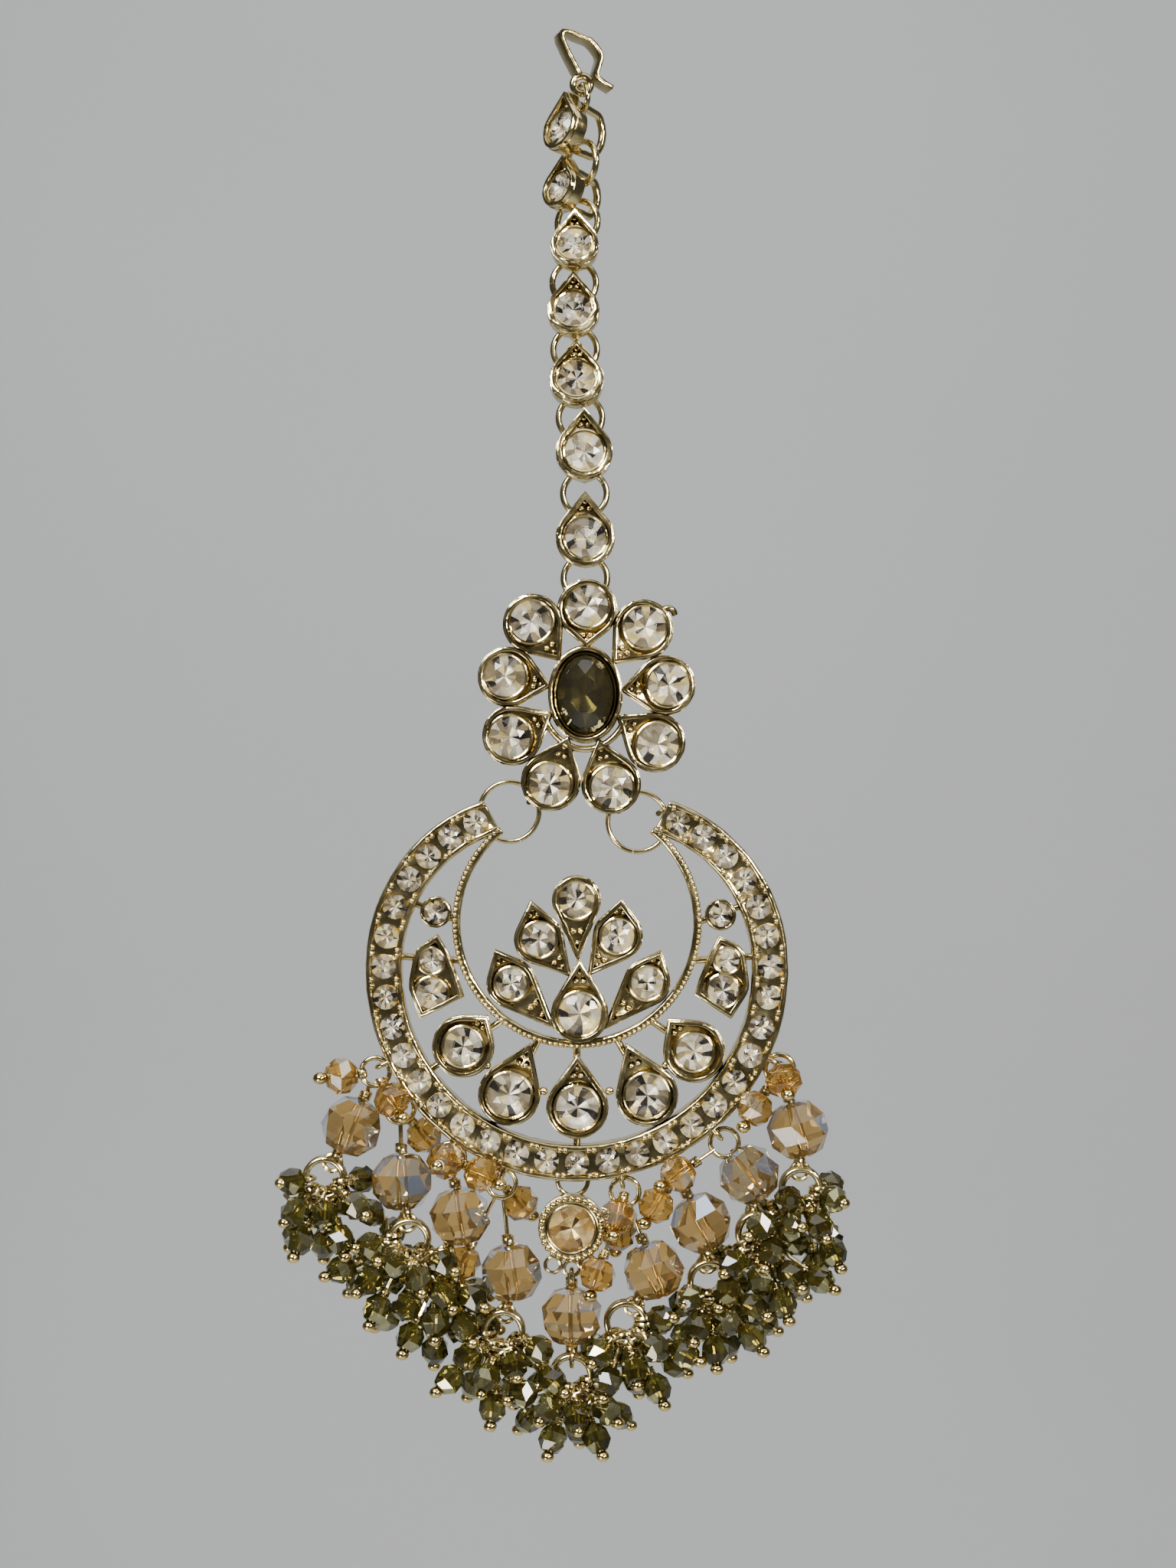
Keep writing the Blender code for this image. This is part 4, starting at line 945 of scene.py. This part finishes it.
# %% Pendant
PENDANT = down(31.8, PENDANT_LEAN) + CRESCENT
PENDANT.y = FRINGE_Y
PUNCHED_BEADS = 28
body = cup(4.15, (), 2.0, 0.70, 0.30, 1.3, 48, 0.15)
stone = cut_stone(2.85, 0.8, 1.0, clear_glass, amber_foil, 6)
parts = [body, moved(stone, shift(0, 0, 1.75)), collar(2.95, 0.16, 1.9)]
pattern = grain(0.44)
for index in range(PUNCHED_BEADS):
    spot = down(3.72, index * 360 / PUNCHED_BEADS)
    parts.append(copy_to(pattern, shift(spot.x, spot.z, 1.95)))
drop_pattern(pattern)
pendant = moved(join("pendant_set", parts), facing((PENDANT + Vector((0, 1.1, 0))) * MM))
neck = [
    bail + Vector((0, 0, -BAIL_RADIUS)), (bail + PENDANT) / 2 + Vector((0, 0, 0.4)),
    PENDANT + Vector((0, 0.2, 3.4)),
]
parts = [pendant, moved(wire_ring(BAIL_RADIUS, 0.3, 30, 10), facing(bail * MM, 90))]
parts.append(wire(neck, 0.3))
LOOPS = ((-2.3, -4.6), (0.0, -5.0), (2.1, -4.5))
for x, z in LOOPS:
    loop = PENDANT + Vector((x, 0, z))
    parts.append(moved(wire_ring(0.95, 0.25, 24, 8), facing(loop * MM)))
pendant = join("pendant_set", parts)
hand_over(pendant, "crescent", "antique_gold", "small_pendant")

# %% [markdown]
# ## Beads of the fringe
# A faceted bead starts as a ball of few rings. Every second ring is turned by half a step, which makes the
# quads into the slanting triangles of a fire-polished bead, and its ends are cut flat round the hole.

# %% Faceted bead and wrapped wire
def faceted_bead(radius, sides, look, squash):
    """A bead with its hole along z; squash is its length against its width."""
    fresh()
    radius *= MM
    bpy.ops.mesh.primitive_uv_sphere_add(segments=sides, ring_count=5, radius=radius)
    made = bpy.context.object
    heights = sorted({round(vert.co.z / radius, 4) for vert in made.data.vertices})
    turned = set(heights[1::2])
    pick(made, "VERT", lambda vert: round(vert.co.z / radius, 4) in turned and abs(vert.co.z) < radius * 0.99)
    bpy.ops.transform.rotate(value=math.pi / sides, orient_axis="Z", center_override=(0, 0, 0))
    whole()
    bpy.ops.mesh.convex_hull()
    for end in (1, -1):
        whole()
        bpy.ops.mesh.bisect(
            plane_co=(0, 0, radius * 0.90 * end), plane_no=(0, 0, end), use_fill=True, clear_outer=True
        )
    whole()
    bpy.ops.transform.resize(value=(1, 1, squash))
    leave()
    return give_tones(paint(made, look))


def coil(radius, wire_radius, height):
    """Three turns of wire round the z axis, rising from z = 0."""
    points = []
    for index in range(25):
        angle = index * math.pi / 4
        points.append(Vector((radius * math.cos(angle), radius * math.sin(angle), height * index / 24)))
    return wire(points, wire_radius, wire_gold, 1, 1)


big_patterns = [faceted_bead(3.9, 8, champagne_glass, 0.97) for _ in range(3)]
small_patterns = [faceted_bead(2.35, 8, peach_glass, 0.92) for _ in range(3)]
olive_patterns = [faceted_bead(1.80, 7, olive_glass, 1.10) for _ in range(4)]
wrap_pattern = coil(0.55, 0.25, 1.1)
small_wrap = coil(0.48, 0.24, 1.0)
ball_pattern = grain(0.92, ball_gold)
loop_pattern = wire_ring(1.05, 0.30, 18, 8)
rim_pattern = wire_ring(1.75, 0.32, 28, 10)
cluster_pattern = wire_ring(2.35, 0.42, 32, 10)

# %% [markdown]
# ## The fringe
# Nine drops hang from the rim, each a ring, a wrapped wire and a big bead, with small champagne beads on
# ball-headed pins beside it. Under each hangs a double ring with a bunch of olive beads. The big and the
# small beads' places come from the photograph, and the olive ones fan out round their ring.

# %% Places of the beads
BIG, SMALL, OLIVE = 3.95, 2.35, 1.78  # the radii that are kept free
LEAN = (-28, 7, -21, -8, 0, -28, 8, 8, 3)
BUNCH = (-3, -25, -5, -10, 0, 25, 15, 20, 2)
BIG_PLACES = (
    (-1.065, -0.742), (-0.829, -1.004), (-0.554, -1.169), (-0.310, -1.435), (-0.025, -1.642),
    (0.362, -1.423), (0.588, -1.200), (0.815, -0.973), (1.046, -0.758),
)
SMALL_PLACES = (  # the drop that holds it, and its place in the photograph
    (0, 448, 1403), (0, 492, 1449), (1, 551, 1489), (2, 582, 1521), (2, 611, 1558), (3, 679, 1575),
    (3, 636, 1644), (5, 780, 1661), (5, 811, 1584), (5, 826, 1632), (6, 870, 1573), (7, 883, 1536),
    (8, 994, 1449), (8, 1021, 1410),
)
FAN = (  # direction, distance from the ring and layer of each olive bead
    (-80, 4.7, 0), (-58, 5.2, 1), (-36, 5.0, 0), (-14, 5.6, 1), (10, 5.0, 0), (34, 5.5, 1), (56, 5.0, 0),
    (80, 4.8, 1), (-42, 7.6, 1), (-20, 7.2, 0), (0, 8.2, 1), (22, 7.4, 0), (44, 7.4, 1),
)
balls = [Vector((CRESCENT.x + x * UNIT, FRINGE_Y, CRESCENT.z + z * UNIT)) for x, z in BIG_PLACES]
hubs = [ball + down(7.2, lean) for ball, lean in zip(balls, LEAN)]
beads = [(place, BIG, index) for index, place in enumerate(balls)]
for drop, px, py in SMALL_PLACES:
    place = at(px, py) / MM
    place.y = -4.4 if (px + py) % 2 else 0.2
    beads.append((place, SMALL, drop))
for index, hub in enumerate(hubs):
    for turn, distance, layer in FAN:
        place = hub + down(distance, BUNCH[index] + turn)
        place.y = (-4.5, 0.0)[(layer + index) % 2]
        beads.append((place, OLIVE, index))

# %% [markdown]
# A settling pass then works on all the beads at once: every pair that is too close is pushed apart a
# little, the big beads are put back where they belong, and all stay inside the hard box.

# %% Settling the beads
SETTLING_ROUNDS = 160
low = np.array(cad_box[0]) / MM
high = np.array(cad_box[1]) / MM
spots = np.array([place for place, _, _ in beads])
sizes = np.array([size for _, size, _ in beads])
held = spots[:len(balls)].copy()
for _ in range(SETTLING_ROUNDS):
    gap = spots[:, None] - spots[None]
    far = np.linalg.norm(gap, axis=2) + np.eye(len(spots)) * 99
    short = np.clip(sizes[:, None] + sizes[None] + 0.05 - far, 0, None)
    spots += (gap / far[..., None] * short[..., None] * 0.35).sum(axis=1)
    spots = np.clip(spots, low + sizes[:, None] + 0.05, high - sizes[:, None] - 0.05)
    spots[:len(balls)] = held
print("beads", len(beads), "tightest pair left short by", round(float(short.max()), 3), "mm")


# %% [markdown]
# A drop is threaded as a maker would: ring, wrapped wire, bead, and a loop for what hangs below. Each small
# bead sits on a pin with a ball at its foot and a loop or a wrap at its head.

# %% Drops and clusters
def inside(place, margin):
    """The same place, kept between the front and the back of the CAD box."""
    return Vector((place.x, min(max(place.y, low[1] + margin), high[1] - margin), place.z))


def settled(size, owner):
    """The count and the place of each bead of this size that belongs to this drop."""
    return [(count, Vector(spots[count])) for count, bead in enumerate(beads) if bead[1:] == (size, owner)]


def pin(start, middle, end, radius, sides=2):
    """A short wire through three points in millimetres."""
    return wire([start, middle, end], radius, wire_gold, 2, sides)


def threaded(pattern, start, end, spin=Matrix.Identity(4)):
    """A copy of a pattern, spun first, at start and with its z axis towards end."""
    aim = (end - start).to_track_quat("Z", "Y").to_matrix().to_4x4()
    return copy_to(pattern, Matrix.Translation(start * MM) @ aim @ spin)


QUARTER_X = Matrix.Rotation(math.radians(90), 4, "X")
QUARTER_Y = Matrix.Rotation(math.radians(90), 4, "Y")
for index, (ball, hub) in enumerate(zip(balls, hubs)):
    if ANGLES[index] is None:
        hold = PENDANT + Vector((0, 0, -6.1))
        toward = (ball - hold).normalized()
        parts = [copy_to(loop_pattern, Matrix.Translation(hold * MM) @ QUARTER_Y)]
        neck = hold + toward * 0.8
    else:
        bar = fringe_eyelet(ANGLES[index])
        toward = (ball - bar).normalized()
        hold = bar + toward * 0.7
        parts = [copy_to(rim_pattern, facing(hold * MM, 30 * index))]
        neck = hold + toward * 1.75
    top = ball - toward * 3.55
    out = (hub - ball).normalized()
    loop = hub - out * 2.1
    parts += [
        pin(neck, (neck + top) / 2, ball + toward * 3.4, 0.28),
        threaded(wrap_pattern, top, neck),
        threaded(big_patterns[index % 3], ball, neck, Matrix.Rotation(index * 1.1, 4, "Z")),
        pin(ball + out * 3.3, (ball + out * 3.9 + loop) / 2, loop - out * 0.5, 0.28),
        threaded(wrap_pattern, ball + out * 3.6, loop),
        threaded(loop_pattern, loop, hub, QUARTER_Y),
    ]
    for count, place in settled(SMALL, index):
        toward = (place - hold).normalized()
        tip = inside(place + toward * 2.2, 0.95)
        parts += [
            threaded(small_patterns[count % 3], place, hold),
            pin(hold + toward * 1.5, (hold + toward * 2 + place) / 2, tip, 0.24),
            threaded(small_wrap, place - toward * 2.1, hold),
            copy_to(ball_pattern, Matrix.Translation(inside(tip + toward * 0.5, 0.95) * MM)),
        ]
    made = join(f"drop_{index + 1}_beads", parts)
    hand_over(made, "crescent", "champagne_bead", f"drop_{index + 1}")

    parts = []
    for y in (-0.5, 0.5):
        parts.append(copy_to(cluster_pattern, facing((hub + Vector((0, y, 0))) * MM, 40 * index + 70 * y)))
    for count, place in settled(OLIVE, index):
        hold = hub + Vector((place.x - hub.x, 0, place.z - hub.z)).normalized() * 2.25
        toward = (place - hold).normalized()
        tip = inside(place + toward * 1.85, 0.95)
        rest = hold + toward * 0.8
        parts += [
            threaded(olive_patterns[count % 4], place, hold),
            pin(rest, (rest + place) / 2, tip, 0.28, 1),
            threaded(loop_pattern, hold, place, QUARTER_X),
            threaded(small_wrap, place - toward * 1.75, hold),
        ]
        if count % 3 or (place - hub).length > 6:
            foot = Matrix.Translation(inside(tip + toward * 0.4, 0.9) * MM)
            parts.append(copy_to(ball_pattern, foot @ Matrix.Scale(0.92, 4)))
    made = join(f"cluster_{index + 1}_bunch", parts)
    hand_over(made, "crescent", "olive_bead", f"cluster_{index + 1}")
drop_pattern(*big_patterns, *small_patterns, *olive_patterns, wrap_pattern, small_wrap)
drop_pattern(ball_pattern, loop_pattern, rim_pattern, cluster_pattern)

# %% [markdown]
# ## Floor, light and camera
# A plain pale sweep rises well behind the piece, with a soft bend instead of a corner.

# %% Stage
fresh()
bpy.ops.mesh.primitive_plane_add(size=1)
sweep = bpy.context.object
pick(sweep, "VERT", lambda vert: True)
bpy.ops.transform.resize(value=(6.0, 3.0, 1))
bpy.ops.transform.translate(value=(0, -0.9, -0.62))
leave(False)
pick(sweep, "VERT", lambda vert: vert.co.y > 0)
STEPS = 16  # from flat to upright, where the sweep bends
for turn in range(1, STEPS + 1):
    angle = math.radians(90 / STEPS) * (turn - 0.5)
    step(0, 0.04 * math.cos(angle), 0.04 * math.sin(angle))
step(0, 0, 2.5)
leave(False)
only(sweep)
bpy.ops.object.shade_smooth()
sweep.name = "pale_sweep"
print("sweep", len(sweep.data.polygons), "faces")
look, nodes, links, shader = new_look("pale paper")
paper = mix(nodes, links, noise(nodes, links, 3.0, 3.0), (0.50, 0.515, 0.52), (0.55, 0.56, 0.56))
links.new(paper, shader.inputs["Base Color"])
tune(shader, {"Roughness": 0.9})
paint(sweep, look)


# %% [markdown]
# Large soft lights give the metal its broad sheen, and two small ones give the stones something to sparkle
# with. The camera looks straight at the piece from the height of its middle, as in the photograph.

# %% Lights, world and camera
def area_light(name, place, aim, size, power, colour=(1, 1, 1)):
    bpy.ops.object.light_add(type="AREA", location=place)
    lamp = bpy.context.object
    lamp.name = name
    lamp.data.shape = "SQUARE"
    lamp.data.size = size
    lamp.data.energy = power
    lamp.data.color = colour
    lamp.rotation_euler = (Vector(aim) - Vector(place)).to_track_quat("-Z", "Y").to_euler()


middle = (0, 0, -0.09)
area_light("window", (-0.35, -0.55, 0.35), middle, 0.26, 7.4, (0.94, 0.97, 1.0))
area_light("lamp", (0.45, -0.40, 0.15), middle, 0.12, 3.4, (1.0, 0.93, 0.80))
area_light("low_card", (-0.30, -0.40, -0.40), middle, 0.16, 1.3, (1.0, 0.97, 0.92))
area_light("spark_left", (-0.12, -0.42, 0.22), middle, 0.03, 2.6)
area_light("spark_right", (0.20, -0.45, -0.02), middle, 0.03, 2.3, (1.0, 0.95, 0.88))
area_light("back_wash", (0.0, 0.05, 0.9), (0, 0.75, -0.1), 1.2, 9.0, (0.97, 0.98, 1.0))

world = bpy.data.worlds.new("studio")
bpy.context.scene.world = world
world.use_nodes = True
tune(world.node_tree.nodes["Background"], {"Color": (0.86, 0.89, 0.92, 1), "Strength": 0.09})

SENSOR = 36
AWAY, IN_VIEW = 0.298, 0.1932  # the height of the picture at this distance, where the fringe is
bpy.ops.object.camera_add(location=(1.13 * MM, -0.300, -92.2 * MM), rotation=(math.radians(90), 0, 0))
camera = bpy.context.object
camera.data.sensor_fit = "VERTICAL"
camera.data.sensor_height = SENSOR
camera.data.lens = SENSOR * AWAY / IN_VIEW
camera.data.clip_start = 0.01
bpy.context.scene.camera = camera
